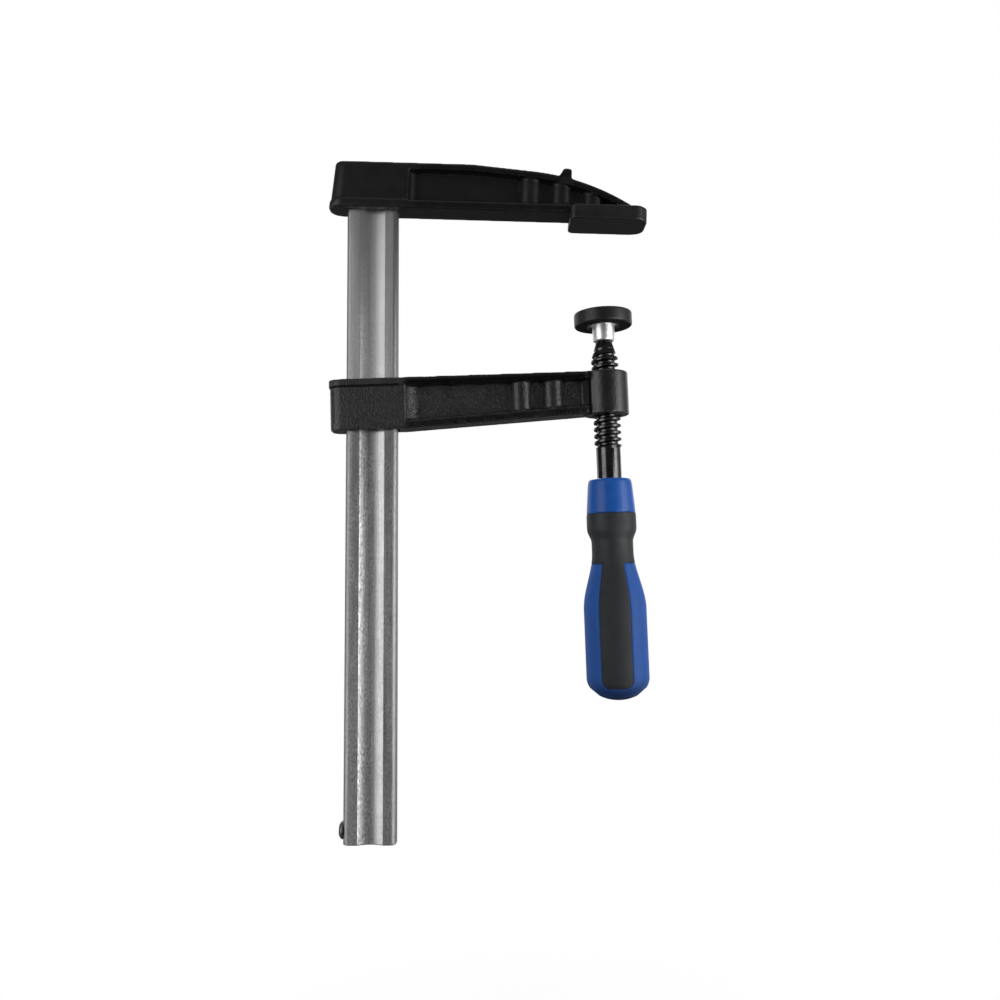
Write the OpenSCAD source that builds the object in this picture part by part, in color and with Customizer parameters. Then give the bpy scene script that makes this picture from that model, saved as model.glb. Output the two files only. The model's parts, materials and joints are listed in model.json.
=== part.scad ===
// Bar clamp with one fixed and one sliding cast jaw, a screw spindle and a two-component handle.
// Millimetres. The origin is the point of the fixed pad's clamping face that the spindle aims at.
// X runs along the arms towards the spindle, Y across the rail, Z up along the rail.

/* [Rail] */
// Width of the rail
rail_w = 30; // [20:0.5:40]
// Thickness of the rail
rail_t = 10; // [7:0.5:14]
// Length of the rail
rail_l = 393.5; // [300:0.5:1000]
// Rounding of the rail's four long edges
rail_round = 2.8; // [0.5:0.1:3.2]
// Width of the hollow groove in each broad face
groove_w = 15.7; // [6:0.1:20]
// Depth of the groove in its middle
groove_depth = 2; // [0.4:0.1:2.4]

/* [Stop rivet] */
// Diameter of the rivet's head
rivet_d = 10; // [6:0.5:14]
// Height of the rivet's head
rivet_h = 2.6; // [1:0.1:4]
// Diameter of the rivet's shank
rivet_shank_d = 5; // [3:0.5:6]
// Length of the shank in the rail
rivet_shank_l = 9; // [5:0.5:15]
// From the rail's lower end to the rivet
rivet_up = 7.5; // [6:0.5:40]

/* [Fixed jaw] */
// From the rail's inner edge to the line that the spindle aims at
throat = 120; // [80:1:150]
// Slope of the fixed jaw, in degrees: it comes square under load
toe_in = 2; // [0:0.1:3]
// Thickness of both jaws across the arm
jaw_t = 18.4; // [16:0.1:24]
// Height of the fixed head
head_h = 27.5; // [24:0.5:36]
// How far the head's upper edge stands behind the rail
head_over = 8.7; // [6:0.1:14]
// Lean of the head's end, in degrees
head_lean = 4.7; // [0:0.1:8]
// Rounding of the head's upright end corners
head_round = 8; // [3:0.5:9]
// Height of the lip on each jaw's clamping side
lip_h = 4.4; // [3:0.1:6]
// How far that lip stands proud of the jaw's sides
lip_proud = 0.7; // [0.2:0.1:1.5]
// Thickness of the flange opposite the lip
flange_t = 4; // [2.5:0.1:6]
// Thickness of the web between the pockets
web_t = 6.4; // [4:0.1:10]
// From the spindle line back to where the top edge starts to fall
fall_back = 77; // [60:1:100]
// First slope of the top edge, in degrees
fall_slope = 4.9; // [2:0.1:7]
// From the spindle line back to where the top edge starts to arch
arch_back = 41; // [30:1:55]
// Radius of the arched top edge
arch_r = 136; // [110:1:180]
// Reach of the toe past the spindle line
toe_reach = 24.5; // [20:0.5:32]
// Rounding of the toe's end corners
toe_round = 6; // [2:0.5:8]
// Height of the nub on the arched edge
nub_h = 5.5; // [2:0.1:8]
// Width of the nub
nub_w = 5.4; // [3:0.1:8]
// Rounding of the nub's top corners
nub_round = 1.4; // [0.5:0.1:1.5]
// Run of the nub's sloping back
nub_slope = 2; // [0.5:0.1:4]
// From the spindle line back to the nub
nub_back = 20.7; // [12:0.1:26]
// How far the rail's upper end lies below the head's top
rail_sunk = 1; // [0.5:0.1:3]

/* [Ribs and pockets] */
// Width of each upright half-round rib
rib_w = 12; // [8:0.1:14]
// How far a rib stands out of the web
rib_rise = 4.9; // [2:0.1:5.5]
// Spacing of the ribs
rib_pitch = 18.6; // [15:0.1:24]
// From the spindle line back to the fixed jaw's last rib
rib_back = 5; // [2:0.1:10]
// From the rail to the fixed jaw's pocket floor
fixed_pocket_from = 11; // [6:0.5:30]
// Radius of the fixed pocket's scooped end
fixed_scoop_r = 5; // [2:0.5:9]
// From the rail to the sliding jaw's pocket floor
slide_pocket_from = 14.2; // [10:0.2:30]
// Radius of the sliding pocket's scooped end
slide_scoop_r = 10; // [4:0.5:14]
// From the spindle axis back to the sliding jaw's last rib
slide_rib_back = 31.4; // [26:0.1:40]
// From the spindle axis back to the foot of the ramp up to the boss
ramp_back = 14.6; // [13:0.1:20]

/* [Fixed jaw cap] */
// Width of the cap
cap_w = 26; // [23:0.5:34]
// Reach of the cap behind the spindle line
cap_back = 18.5; // [15:0.5:30]
// Reach of the cap past the spindle line
cap_front = 27; // [26:0.5:36]
// Thickness of the cap under the jaw
cap_sole = 4.7; // [2:0.1:8]
// Height of the cap's side walls above the clamping face
cap_wall_h = 8.4; // [6:0.1:8.8]
// Rounding of the cap's front corners
cap_round = 8; // [3:0.5:12]
// Rounding of the cap's back corners
cap_back_round = 3.5; // [1:0.5:6]

/* [Sliding jaw] */
// From the clamping face down to the middle of the sliding head
slide_drop = 108; // [100:1:300]
// Tilt at which the loose jaw hangs on the rail, in degrees
jaw_cock = 1.6; // [0:0.1:1.8]
// From the rail's inner edge to the spindle axis
spindle_reach = 122.4; // [90:0.1:150]
// Height of the sliding head above its middle
slide_up = 15.4; // [13:0.1:20]
// Depth of the sliding head below its middle
slide_down = 14.5; // [13:0.1:20]
// How far the sliding head stands behind the rail
slide_over = 9.3; // [6:0.1:14]
// Rounding of the sliding head's upright end corners
slide_round = 7; // [3:0.5:9]
// From the rail to where the arm's lower edge starts to rise
taper_from = 5; // [0:0.5:20]
// Depth of the arm below the head's middle, at the spindle
arm_end_down = 8.6; // [7:0.1:12]
// Thickness of the arm's lower flange
slide_flange_t = 4.4; // [2.5:0.1:5]
// Diameter of the spindle boss
boss_d = 26; // [22:0.5:32]
// Depth of the boss below the head's middle
boss_down = 9.8; // [9:0.1:16]
// Play of the rail slot along its width, which lets the jaw tilt and bite
slot_play = 1.2; // [1.1:0.05:2]
// Play of the rail slot across its thickness
slot_side_play = 0.4; // [0.2:0.05:1]

/* [Spindle] */
// Outer diameter of the thread
thread_d = 16; // [12:0.5:20]
// Length of the thread
thread_l = 53; // [45:0.5:120]
// Running gap all round between the thread and the boss
thread_fit = 0.06; // [0.02:0.01:0.1]
// Gap between the plate's collar and the spindle's cone
cone_gap = 0.8; // [0.6:0.1:2]
// Diameter at the small end of the cone
cone_d = 9.6; // [8:0.1:12]
// Length of the cone up to the full thread
cone_l = 10.3; // [3:0.1:14]
// Diameter of the plain shank, the blank that the thread is rolled on
shank_d = 14.3; // [10:0.1:16]
// Length of the plain shank up to the handle
shank_l = 17.5; // [5:0.1:40]
// Diameter of the tang in the handle
tang_d = 10; // [6:0.5:12]
// Length of the tang in the handle
tang_l = 72; // [30:1:90]
// Diameter of the ball
ball_d = 8.6; // [8:0.1:10]
// Diameter of the neck under the ball
neck_d = 6.4; // [5:0.1:6.8]

/* [Pressure plate] */
// From the sliding head's middle up to the plate's clamping face
plate_up = 51.2; // [45:0.1:80]
// Diameter of the plastic cap
pad_d = 34; // [28:0.5:44]
// Height of the plastic cap
pad_h = 8; // [7:0.1:12]
// Thickness of the plastic cap over the plate
pad_floor = 3.2; // [1.5:0.1:5]
// Thickness of the plastic cap's side wall
pad_wall = 2; // [1:0.1:4]
// Rounding of the plastic cap's edges
pad_round = 0.7; // [0.3:0.1:2]
// Width of the inner lip that the plate snaps behind
pad_lip = 5.6; // [0.5:0.1:6.5]
// Thickness of the metal plate
plate_t = 3.5; // [2:0.1:5]
// Depth of the ball's centre under the metal plate
ball_seat = 5.2; // [3:0.1:8]
// Swing of the plate on its ball each way, in degrees
swing = 5; // [1:0.5:6]
// Wall of the socket collar
collar_wall = 2.05; // [0.8:0.05:2.5]
// Thickness of the collar's rolled-in lip
collar_lip = 1.2; // [0.8:0.1:2]
// Diameter of the small shoulder at the collar's root
shoulder_d = 14.4; // [13.6:0.1:18]
// Height of that shoulder
shoulder_h = 0.9; // [0.5:0.1:2]
// Wire of the retaining ring
ring_wire = 0.9; // [0.8:0.05:1.2]
// Opening in the split retaining ring, in degrees
ring_split = 40; // [10:5:90]
// Running gap in the swivel
swivel_fit = 0.06; // [0.02:0.01:0.1]

/* [Handle] */
// Length of the handle
handle_l = 127; // [110:0.2:160]
// Diameter at the handle's top edge
handle_top_d = 25.2; // [22:0.2:32]
// Rounding of the handle's top edge
handle_round = 2; // [0.5:0.1:4]
// Diameter of the shoulder ring
shoulder_ring_d = 28.7; // [26:0.2:36]
// Diameter of the waist
waist_d = 24; // [21:0.2:28]
// Largest diameter of the belly
belly_d = 36; // [30:0.2:44]
// From the handle's top to the shoulder's widest place
shoulder_at = 22; // [18:0.5:28]
// From the handle's top to the foot of the shoulder
shoulder_end = 29; // [28:0.5:34]
// From the handle's top to the start of the waist
waist_at = 36.5; // [35:0.5:40]
// From the handle's top to the end of the waist
waist_end = 42.5; // [41:0.5:48]
// From the handle's top to the start of the belly
belly_at = 75; // [66:0.5:84]
// Length of the rounded lower end
dome_l = 12.6; // [8:0.2:18]
// From the handle's top to the upper edge of the soft grip
grip_at = 20; // [10:0.5:21]
// From the handle's top to the lower edge of the soft sleeve
sleeve_end = 49; // [46:0.5:58]
// From the lower end of the soft strips to the handle's lower end
strip_short = 8; // [6:0.5:25]
// Number of soft strips
strip_n = 3; // [2:1:4]
// Half the angle that a strip spans, in degrees
strip_half = 29.5; // [15:0.5:32]
// Turn of the strips round the handle, from straight in front, in degrees
strip_turn = -7.5; // [-60:0.5:60]
// Rounding of a strip's lower corners
strip_round = 5; // [2:0.5:7]
// Depth of the soft grip in the core
grip_depth = 1.8; // [1:0.1:3]
// How far the strips lie below the core's surface
strip_sunk = 0.3; // [0.1:0.05:0.6]

/* [Fit of fixed pieces] */
// Gap all round between pieces that are pressed or moulded together
seat_fit = 0.05; // [0.02:0.01:0.1]

/* [Hidden] */
$fn = 72;

// A cutter runs this far past what it cuts
over = 1;
// Reach of a cutter that has to pass the whole part
far = 200;
// A sloping shape runs this far into the next one
lap = 0.5;

// Rail
groove_r = (pow(groove_w / 2, 2) + pow(groove_depth, 2)) / (2 * groove_depth);
rail_x = -(throat + rail_w / 2);
rail_back_x = rail_x - rail_w / 2;

// Fixed jaw, in its own sloping frame
jaw_under = cap_sole;
jaw_top = jaw_under + head_h;
toe_top = jaw_under + lip_h;
head_back_x = rail_back_x - head_over;
arch_start_z = jaw_top - (fall_back - arch_back) * tan(fall_slope);
arch_x = -arch_back - arch_r * sin(fall_slope);
arch_z = arch_start_z - arch_r * cos(fall_slope);
rail_top = -rail_x * sin(toe_in) + jaw_top * cos(toe_in) - rail_w / 2 * sin(toe_in) - rail_sunk;
rail_bottom = rail_top - rail_l;

// Sliding jaw, in its own tilted frame with the rail's middle at the origin
spindle_x = rail_w / 2 + spindle_reach;
slide_back_x = -(rail_w / 2 + slide_over);
taper_x = rail_w / 2 + taper_from;
taper_rate = (slide_down - arm_end_down) / (spindle_x - taper_x);

// Swivel: the ring sits under the ball, and the collar's lip closes under the ring
neck_r = neck_d / 2;
ball_r = ball_d / 2;
ring_r = neck_r + 2 * swivel_fit + ring_wire / 2;
ring_outer_r = ring_r + ring_wire / 2;
ring_drop = sqrt(pow(ball_r + ring_wire / 2 + swivel_fit, 2) - pow(ring_r, 2));
ring_low = ring_drop + ring_wire / 2;
socket_r = ball_r + swivel_fit;
bore_r = ring_outer_r + ring_low * sin(swing) + swivel_fit;
lip_drop = ring_low + ring_outer_r * sin(swing) + swivel_fit;
collar_drop = lip_drop + collar_lip;
mouth_r = neck_r + collar_drop * sin(swing) + 2 * swivel_fit;
collar_r = bore_r + collar_wall;
collar_l = ball_seat + collar_drop;

// Heights along the spindle, below the plate's clamping face
plate_under = pad_floor + plate_t;
ball_at = plate_under + ball_seat;
collar_end = plate_under + collar_l;
thread_at = collar_end + cone_gap + cone_l;
thread_end = thread_at + thread_l;
handle_at = thread_end + shank_l;
plate_r = pad_d / 2 - pad_wall - seat_fit;

// Handle, measured down from its top
dome_at = handle_l - dome_l;
strip_end = handle_l - strip_short;
// The strips start inside the sleeve
strip_lap = 2;
strip_top = sleeve_end - strip_lap;
// Spacing of the points along the handle's outline
handle_step = 2.5;

// Points of a circular arc
function arc(x, y, r, from, to, steps = 8) =
    [for (i = [0 : steps]) let (a = from + (to - from) * i / steps) [x + r * cos(a), y + r * sin(a)]];

// Smooth change from one value to another while t goes from 0 to 1
function ease(from, to, t) = from + (to - from) * (3 - 2 * t) * t * t;

// Radius of the handle at a distance below its top
function handle_r(s) =
    s < shoulder_at ? (handle_top_d + (shoulder_ring_d - handle_top_d) * s / shoulder_at) / 2
    : s < shoulder_end ? shoulder_ring_d / 2
    : s < waist_at ? ease(shoulder_ring_d, waist_d, (s - shoulder_end) / (waist_at - shoulder_end)) / 2
    : s < waist_end ? waist_d / 2
    : s < belly_at ? ease(waist_d, belly_d, (s - waist_end) / (belly_at - waist_end)) / 2
    : s < dome_at ? belly_d / 2
    : belly_d / 2 * sqrt(max(0, 1 - pow((s - dome_at) / dome_l, 2)));

// Distances down the handle between two places, both included
function stations(from, to) =
    let (n = ceil((to - from) / handle_step)) [for (i = [0 : n]) from + (to - from) * i / n];

// Where the arched edge, moved inwards, comes down to a height: the angle from upright
function arch_angle(inset, z) = acos((z - arch_z) / (arch_r - inset));

// The fixed jaw's falling top edge, moved inwards, from the flat top down to a height
function top_edge(inset, z_end) = concat(
    [[-fall_back - inset * tan(fall_slope / 2), jaw_top - inset]],
    arc(arch_x, arch_z, arch_r - inset, 90 - fall_slope, 90 - arch_angle(inset, z_end), 14));

// Frames of the pieces
module fixed_frame() { rotate([0, toe_in, 0]) children(); }
module slide_frame() { translate([rail_x, 0, -slide_drop]) rotate([0, -jaw_cock, 0]) children(); }
module spindle_frame() { slide_frame() translate([spindle_x, 0, plate_up]) children(); }
module handle_frame() { spindle_frame() translate([0, 0, -handle_at]) children(); }

// Stands an outline drawn in X and Z upright, across the whole thickness given
module across(t) { rotate([90, 0, 0]) translate([0, 0, -t / 2]) linear_extrude(t) children(); }

// A rectangle with rounded corners
module rounded(w, h, r) {
    square([w - 2 * r, h], center = true);
    square([w, h - 2 * r], center = true);
    for (x = [-1, 1], y = [-1, 1]) translate([x * (w / 2 - r), y * (h / 2 - r)]) circle(r);
}

// Section of the rail, grown all round by a gap
module rail_section(gap) {
    difference() {
        rounded(rail_w + 2 * gap, rail_t + 2 * gap, rail_round);
        for (side = [0, 1]) mirror([0, side]) groove_section(gap);
    }
}

// One groove of the rail, a shallow arc
module groove_section(gap) {
    translate([0, rail_t / 2 - groove_depth + groove_r]) circle(groove_r - gap);
}

module guide_rail() {
    color("silver") difference() {
        translate([rail_x, 0, rail_bottom]) linear_extrude(rail_l) rail_section(0);
        rivet_frame() cylinder(d = rivet_shank_d, h = rivet_shank_l);
    }
}

// The rivet's axis runs into the rail from its outer narrow face
module rivet_frame() {
    translate([rail_back_x, 0, rail_bottom + rivet_up]) rotate([0, 90, 0]) children();
}

module stop_rivet() {
    dome_r = (pow(rivet_d / 2, 2) + pow(rivet_h, 2)) / (2 * rivet_h);
    color("dimgray") rivet_frame() {
        cylinder(d = rivet_shank_d - 2 * seat_fit, h = rivet_shank_l - seat_fit);
        intersection() {
            translate([0, 0, dome_r - rivet_h]) sphere(dome_r);
            translate([0, 0, -rivet_h]) cylinder(d = rivet_d, h = rivet_h);
        }
    }
}

// Plan of an arm: a strip with rounded corners at its front end only
module arm_plan(from, to, w, r) {
    translate([from, -w / 2]) square([to - from - r, w]);
    translate([to - 2 * r, r - w / 2]) square([2 * r, w - 2 * r]);
    for (side = [-1, 1]) translate([to - r, side * (w / 2 - r)]) circle(r);
}

// Plan of a head: rounded corners at the back end only
module head_plan(from, to, w, r) { mirror([1, 0]) arm_plan(-to, -from, w, r); }

// Plan of a jaw: rounded corners of one radius at the back and of another at the front
module jaw_plan(from, to, w, back_r, front_r) {
    intersection() {
        head_plan(from, to, w, back_r);
        arm_plan(from, to, w, front_r);
    }
}

// A jaw's pocket seen from above, on one side of the web: scooped end, flat floor, ribs left standing
module pocket_plan(floor_from, floor_to, ramp, scoop_r, ribs) {
    floor_y = web_t / 2;
    rib_r = (pow(rib_w / 2, 2) + pow(rib_rise, 2)) / (2 * rib_rise);
    difference() {
        union() {
            polygon([[floor_from, floor_y], [floor_to, floor_y], [floor_to + ramp, jaw_t / 2],
                     [floor_to + ramp, jaw_t], [floor_from, jaw_t]]);
            translate([floor_from, floor_y + scoop_r]) circle(scoop_r);
            translate([floor_from - scoop_r, floor_y + scoop_r]) square([2 * scoop_r, jaw_t]);
        }
        for (x = ribs) translate([x, floor_y + rib_rise - rib_r]) circle(rib_r);
    }
}

// Fixed jaw before its pockets, with its sides grown by an amount: its ends lean
module fixed_blank(grow) {
    back_x = head_back_x - grow;
    reach = (toe_reach + grow - back_x + head_h * tan(head_lean)) * cos(head_lean);
    translate([back_x, 0, jaw_top]) rotate([0, head_lean, 0]) linear_extrude(far, center = true)
        jaw_plan(0, reach, jaw_t + 2 * grow, head_round + grow, toe_round + grow);
}

module fixed_outline() {
    polygon(concat(
        [[head_back_x - head_h, jaw_under], [head_back_x - head_h, jaw_top]],
        top_edge(0, toe_top),
        [[toe_reach + over, toe_top], [toe_reach + over, jaw_under]]));
}

module fixed_pocket_outline() {
    low = jaw_under + lip_h;
    polygon(concat([[rail_x, low], [rail_x, jaw_top - flange_t]], top_edge(flange_t, low)));
}

// The nub stands upright on the arched edge, with a sloping back
module nub_outline() {
    lean = asin((nub_back + arch_x) / arch_r);
    foot = arch_r * (1 - cos(lean)) + flange_t;
    translate([-nub_back, arch_z + arch_r * cos(lean)]) {
        polygon([[-nub_w / 2 - nub_slope, -foot], [nub_w / 2, -foot], [nub_w / 2, nub_h - nub_round],
                 [nub_w / 2 - nub_round, nub_h], [nub_round - nub_w / 2, nub_h],
                 [-nub_w / 2, nub_h - nub_round], [-nub_w / 2 - nub_slope, nub_slope / 2]]);
        for (side = [-1, 1]) translate([side * (nub_w / 2 - nub_round), nub_h - nub_round])
            circle(nub_round);
    }
}

module fixed_jaw() {
    ribs = [for (i = [0 : 2]) -rib_back - i * rib_pitch];
    floor_from = fixed_pocket_from - throat;
    color([0.12, 0.12, 0.13]) difference() {
        fixed_frame() difference() {
            union() {
                intersection() {
                    across(far) {
                        fixed_outline();
                        nub_outline();
                    }
                    fixed_blank(0);
                }
                intersection() {
                    translate([-far, -far / 2, jaw_under]) cube([2 * far, far, lip_h]);
                    fixed_blank(lip_proud);
                }
            }
            for (side = [0, 1]) mirror([0, side, 0]) intersection() {
                across(far) fixed_pocket_outline();
                linear_extrude(far) pocket_plan(floor_from, toe_reach, 0, fixed_scoop_r, ribs);
            }
        }
        translate([rail_x, 0, rail_top - far / 2]) linear_extrude(far) rail_section(seat_fit);
    }
}

module fixed_jaw_cap() {
    color([0.1, 0.1, 0.11]) fixed_frame() difference() {
        linear_extrude(cap_wall_h)
            jaw_plan(-cap_back, cap_front, cap_w, cap_back_round, cap_round);
        intersection() {
            translate([-far, -far / 2, jaw_under]) cube([2 * far, far, far]);
            fixed_blank(lip_proud + seat_fit);
        }
    }
}

module slide_outline() {
    polygon([[slide_back_x, slide_up], [spindle_x, slide_up], [spindle_x, -arm_end_down],
             [taper_x, -slide_down], [slide_back_x, -slide_down]]);
}

module slide_pocket_outline() {
    low = slide_flange_t - slide_down;
    high = slide_up - lip_h;
    polygon([[rail_w / 2, low], [taper_x, low], [spindle_x, low + taper_rate * (spindle_x - taper_x)],
             [spindle_x, high], [rail_w / 2, high]]);
}

module sliding_jaw() {
    ribs = [for (i = [0 : 1]) spindle_x - slide_rib_back - i * rib_pitch];
    floor_from = rail_w / 2 + slide_pocket_from;
    floor_to = spindle_x - ramp_back;
    ramp_foot = ramp_back - sqrt(pow(boss_d / 2, 2) - pow(jaw_t / 2, 2)) - lap;
    color([0.16, 0.16, 0.17]) slide_frame() difference() {
        union() {
            intersection() {
                across(jaw_t) slide_outline();
                linear_extrude(far, center = true)
                    head_plan(slide_back_x, spindle_x, jaw_t, slide_round);
            }
            translate([0, 0, slide_up - lip_h]) linear_extrude(lip_h)
                head_plan(slide_back_x - lip_proud, spindle_x, jaw_t + 2 * lip_proud,
                          slide_round + lip_proud);
            translate([spindle_x, 0, -boss_down]) cylinder(d = boss_d, h = boss_down + slide_up);
        }
        for (side = [0, 1]) mirror([0, side, 0]) intersection() {
            across(far) slide_pocket_outline();
            linear_extrude(far, center = true)
                pocket_plan(floor_from, floor_to, ramp_foot, slide_scoop_r, ribs);
        }
        cube([rail_w + slot_play, rail_t + slot_side_play, far], center = true);
        translate([spindle_x, 0, -far / 2]) cylinder(d = thread_d + 2 * thread_fit, h = far);
    }
}

// A length of round bar below a height on the spindle
module bar(at, l, d) { translate([0, 0, -at - l]) cylinder(d = d, h = l); }

module spindle() {
    run_out = (thread_d - shank_d) / 2;
    color([0.08, 0.08, 0.09]) spindle_frame() {
        translate([0, 0, -ball_at]) sphere(ball_r);
        bar(ball_at, thread_at - ball_at, neck_d);
        translate([0, 0, -thread_at]) cylinder(d1 = thread_d, d2 = cone_d, h = cone_l);
        bar(thread_at, thread_l - run_out, thread_d);
        translate([0, 0, -thread_end]) cylinder(d1 = shank_d, d2 = thread_d, h = run_out);
        bar(thread_end, shank_l, shank_d);
        bar(handle_at, tang_l, tang_d);
    }
}

module retaining_ring() {
    color("gainsboro") spindle_frame() translate([0, 0, -ball_at - ring_drop])
        rotate(90 + ring_split / 2) rotate_extrude(angle = 360 - ring_split)
            translate([ring_r, 0]) circle(d = ring_wire);
}

// Half section of the plate and its collar, before the ball's socket is cut
module plate_profile() {
    roll = collar_lip;
    polygon(concat(
        [[0, -pad_floor], [plate_r, -pad_floor], [plate_r, -plate_under], [shoulder_d / 2, -plate_under],
         [shoulder_d / 2, -plate_under - shoulder_h], [collar_r, -plate_under - shoulder_h]],
        arc(collar_r - roll, -collar_end + roll, roll, 0, -90),
        [[0, -collar_end]]));
}

module pressure_plate() {
    color("lightsteelblue") spindle_frame() difference() {
        rotate_extrude() plate_profile();
        translate([0, 0, -ball_at]) sphere(socket_r);
        bar(ball_at, lip_drop, 2 * bore_r);
        bar(ball_at, collar_drop + over, 2 * mouth_r);
    }
}

module plate_cap() {
    outer_r = pad_d / 2;
    color([0.13, 0.13, 0.13]) spindle_frame() rotate_extrude() polygon(concat(
        [[0, 0]],
        arc(outer_r - pad_round, -pad_round, pad_round, 90, 0),
        arc(outer_r - pad_round, pad_round - pad_h, pad_round, 0, -90),
        [[plate_r - pad_lip, -pad_h], [plate_r - pad_lip, -plate_under - seat_fit],
         [plate_r + seat_fit, -plate_under - seat_fit], [plate_r + seat_fit, -pad_floor], [0, -pad_floor]]));
}

// The handle's full shape, turned
module handle_body() {
    top_r = handle_r(0);
    edge = arc(top_r - handle_round, -handle_round, handle_round, 90, 0);
    sides = [for (s = stations(handle_round, dome_at)) [handle_r(s), -s]];
    dome = [for (a = [10 : 10 : 80]) [handle_r(dome_at + dome_l * sin(a)), -dome_at - dome_l * sin(a)]];
    rotate_extrude() polygon(concat([[0, 0]], edge, sides, dome, [[0, -handle_l]]));
}

// A turned shell along the handle's surface, from a depth to a height over it
module handle_shell(from, to, depth, height) {
    marks = stations(from, to);
    back = [for (i = [len(marks) - 1 : -1 : 0]) marks[i]];
    rotate_extrude() polygon(concat([for (s = marks) [handle_r(s) - depth, -s]],
                                    [for (s = back) [handle_r(s) + height, -s]]));
}

// Front view of one strip, drawn in by a gap
module strip_outline(gap) {
    corner = handle_r(strip_end - strip_round) * sin(strip_half) - strip_round;
    marks = stations(strip_top, strip_end - strip_round);
    back = [for (i = [len(marks) - 1 : -1 : 0]) marks[i]];
    polygon(concat([for (s = marks) [handle_r(s) * sin(strip_half) - gap, -s]],
                   arc(corner, strip_round - strip_end, strip_round - gap, 0, -90),
                   arc(-corner, strip_round - strip_end, strip_round - gap, -90, -180),
                   [for (s = back) [gap - handle_r(s) * sin(strip_half), -s]]));
}

// Every strip, from a depth to a height over the handle's surface
module strips(gap, depth, height) {
    for (i = [0 : strip_n - 1]) rotate(strip_turn + i * 360 / strip_n) intersection() {
        handle_shell(strip_top, strip_end, depth, height);
        rotate([90, 0, 0]) linear_extrude(belly_d) strip_outline(gap);
    }
}

module handle_core() {
    color([0.1, 0.25, 0.72]) handle_frame() difference() {
        handle_body();
        handle_shell(grip_at, sleeve_end, grip_depth, over);
        strips(0, grip_depth, over);
        bar(-over, tang_l + over + seat_fit, tang_d + 2 * seat_fit);
    }
}

module handle_grip() {
    color([0.2, 0.21, 0.23]) handle_frame() {
        handle_shell(grip_at + seat_fit, sleeve_end - seat_fit, grip_depth - seat_fit, 0);
        strips(seat_fit, grip_depth - seat_fit, -strip_sunk);
    }
}

guide_rail();
stop_rivet();
fixed_jaw();
fixed_jaw_cap();
sliding_jaw();
spindle();
retaining_ring();
pressure_plate();
plate_cap();
handle_core();
handle_grip();
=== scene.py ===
# %% [markdown]
# # A bar clamp
# A bar clamp presses work between a jaw that is fixed to a steel rail and a jaw that slides along it.
# The solids of every piece are already in place, with their joints. This lesson dresses them: it gives
# each piece the rounded edges, the thread, the casting skin and the finish that the real one has.
# Everything is in metres, in the frame of the solids, so nothing has to be fitted by hand.

# %% Load the solids and keep their box
import json
import math
import bmesh
import bpy
import numpy as np
from mathutils import Matrix, Vector, noise


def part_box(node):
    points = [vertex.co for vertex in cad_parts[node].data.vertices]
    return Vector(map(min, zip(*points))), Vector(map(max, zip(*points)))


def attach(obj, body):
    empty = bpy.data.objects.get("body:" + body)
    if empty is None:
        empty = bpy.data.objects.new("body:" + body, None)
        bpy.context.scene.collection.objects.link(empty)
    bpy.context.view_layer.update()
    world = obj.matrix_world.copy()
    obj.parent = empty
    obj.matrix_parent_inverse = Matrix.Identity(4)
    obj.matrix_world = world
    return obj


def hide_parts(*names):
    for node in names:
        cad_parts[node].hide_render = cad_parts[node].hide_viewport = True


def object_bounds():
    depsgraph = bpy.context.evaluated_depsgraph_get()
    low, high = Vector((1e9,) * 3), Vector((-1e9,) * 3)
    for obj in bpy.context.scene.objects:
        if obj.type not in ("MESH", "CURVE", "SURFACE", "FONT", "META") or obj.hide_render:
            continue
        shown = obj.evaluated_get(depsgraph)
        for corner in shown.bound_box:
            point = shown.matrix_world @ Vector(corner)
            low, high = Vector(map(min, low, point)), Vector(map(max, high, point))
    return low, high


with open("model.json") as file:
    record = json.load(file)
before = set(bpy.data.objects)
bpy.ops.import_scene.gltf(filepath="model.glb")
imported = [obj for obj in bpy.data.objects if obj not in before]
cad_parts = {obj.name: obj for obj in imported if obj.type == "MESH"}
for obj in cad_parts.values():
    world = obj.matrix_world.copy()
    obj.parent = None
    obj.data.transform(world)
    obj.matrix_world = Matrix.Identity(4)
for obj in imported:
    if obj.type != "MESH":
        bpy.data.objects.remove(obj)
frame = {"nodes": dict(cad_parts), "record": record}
cad_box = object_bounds()
scene = bpy.context.scene
scene.view_settings.view_transform = "Standard"
MM = 0.001
print("solids:", ", ".join(sorted(frame["nodes"])))

# %% [markdown]
# ## Camera
# The photograph looks almost straight at the clamp, from a little above the handle's middle and very
# slightly upwards. A long lens would hide the undersides of the jaws, so the distance matters: half a
# metre, with a lens that takes in the whole clamp. The small roll is the photographer's.

# %% Camera
LENS_MM = 32.4
SENSOR_MM = 36.0
CAMERA_AT = Vector((-0.0604, -0.5234, -0.2015))
PITCH = math.radians(4.18)
ROLL = math.radians(-0.30)

forward = Vector((0.0, math.cos(PITCH), math.sin(PITCH)))
level_up = Vector((0.0, -math.sin(PITCH), math.cos(PITCH)))
level_right = Vector((1.0, 0.0, 0.0))
right = level_right * math.cos(ROLL) + level_up * math.sin(ROLL)
up = level_up * math.cos(ROLL) - level_right * math.sin(ROLL)
camera_data = bpy.data.cameras.new("camera")
camera_data.sensor_width = SENSOR_MM
camera_data.lens = LENS_MM
camera_data.clip_start = 0.01
camera = bpy.data.objects.new("camera", camera_data)
turn = Matrix((right, up, -forward)).transposed()
camera.matrix_world = Matrix.Translation(CAMERA_AT) @ turn.to_4x4()
scene.collection.objects.link(camera)
scene.camera = camera
print("camera looks along", [round(v, 3) for v in forward])

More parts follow.
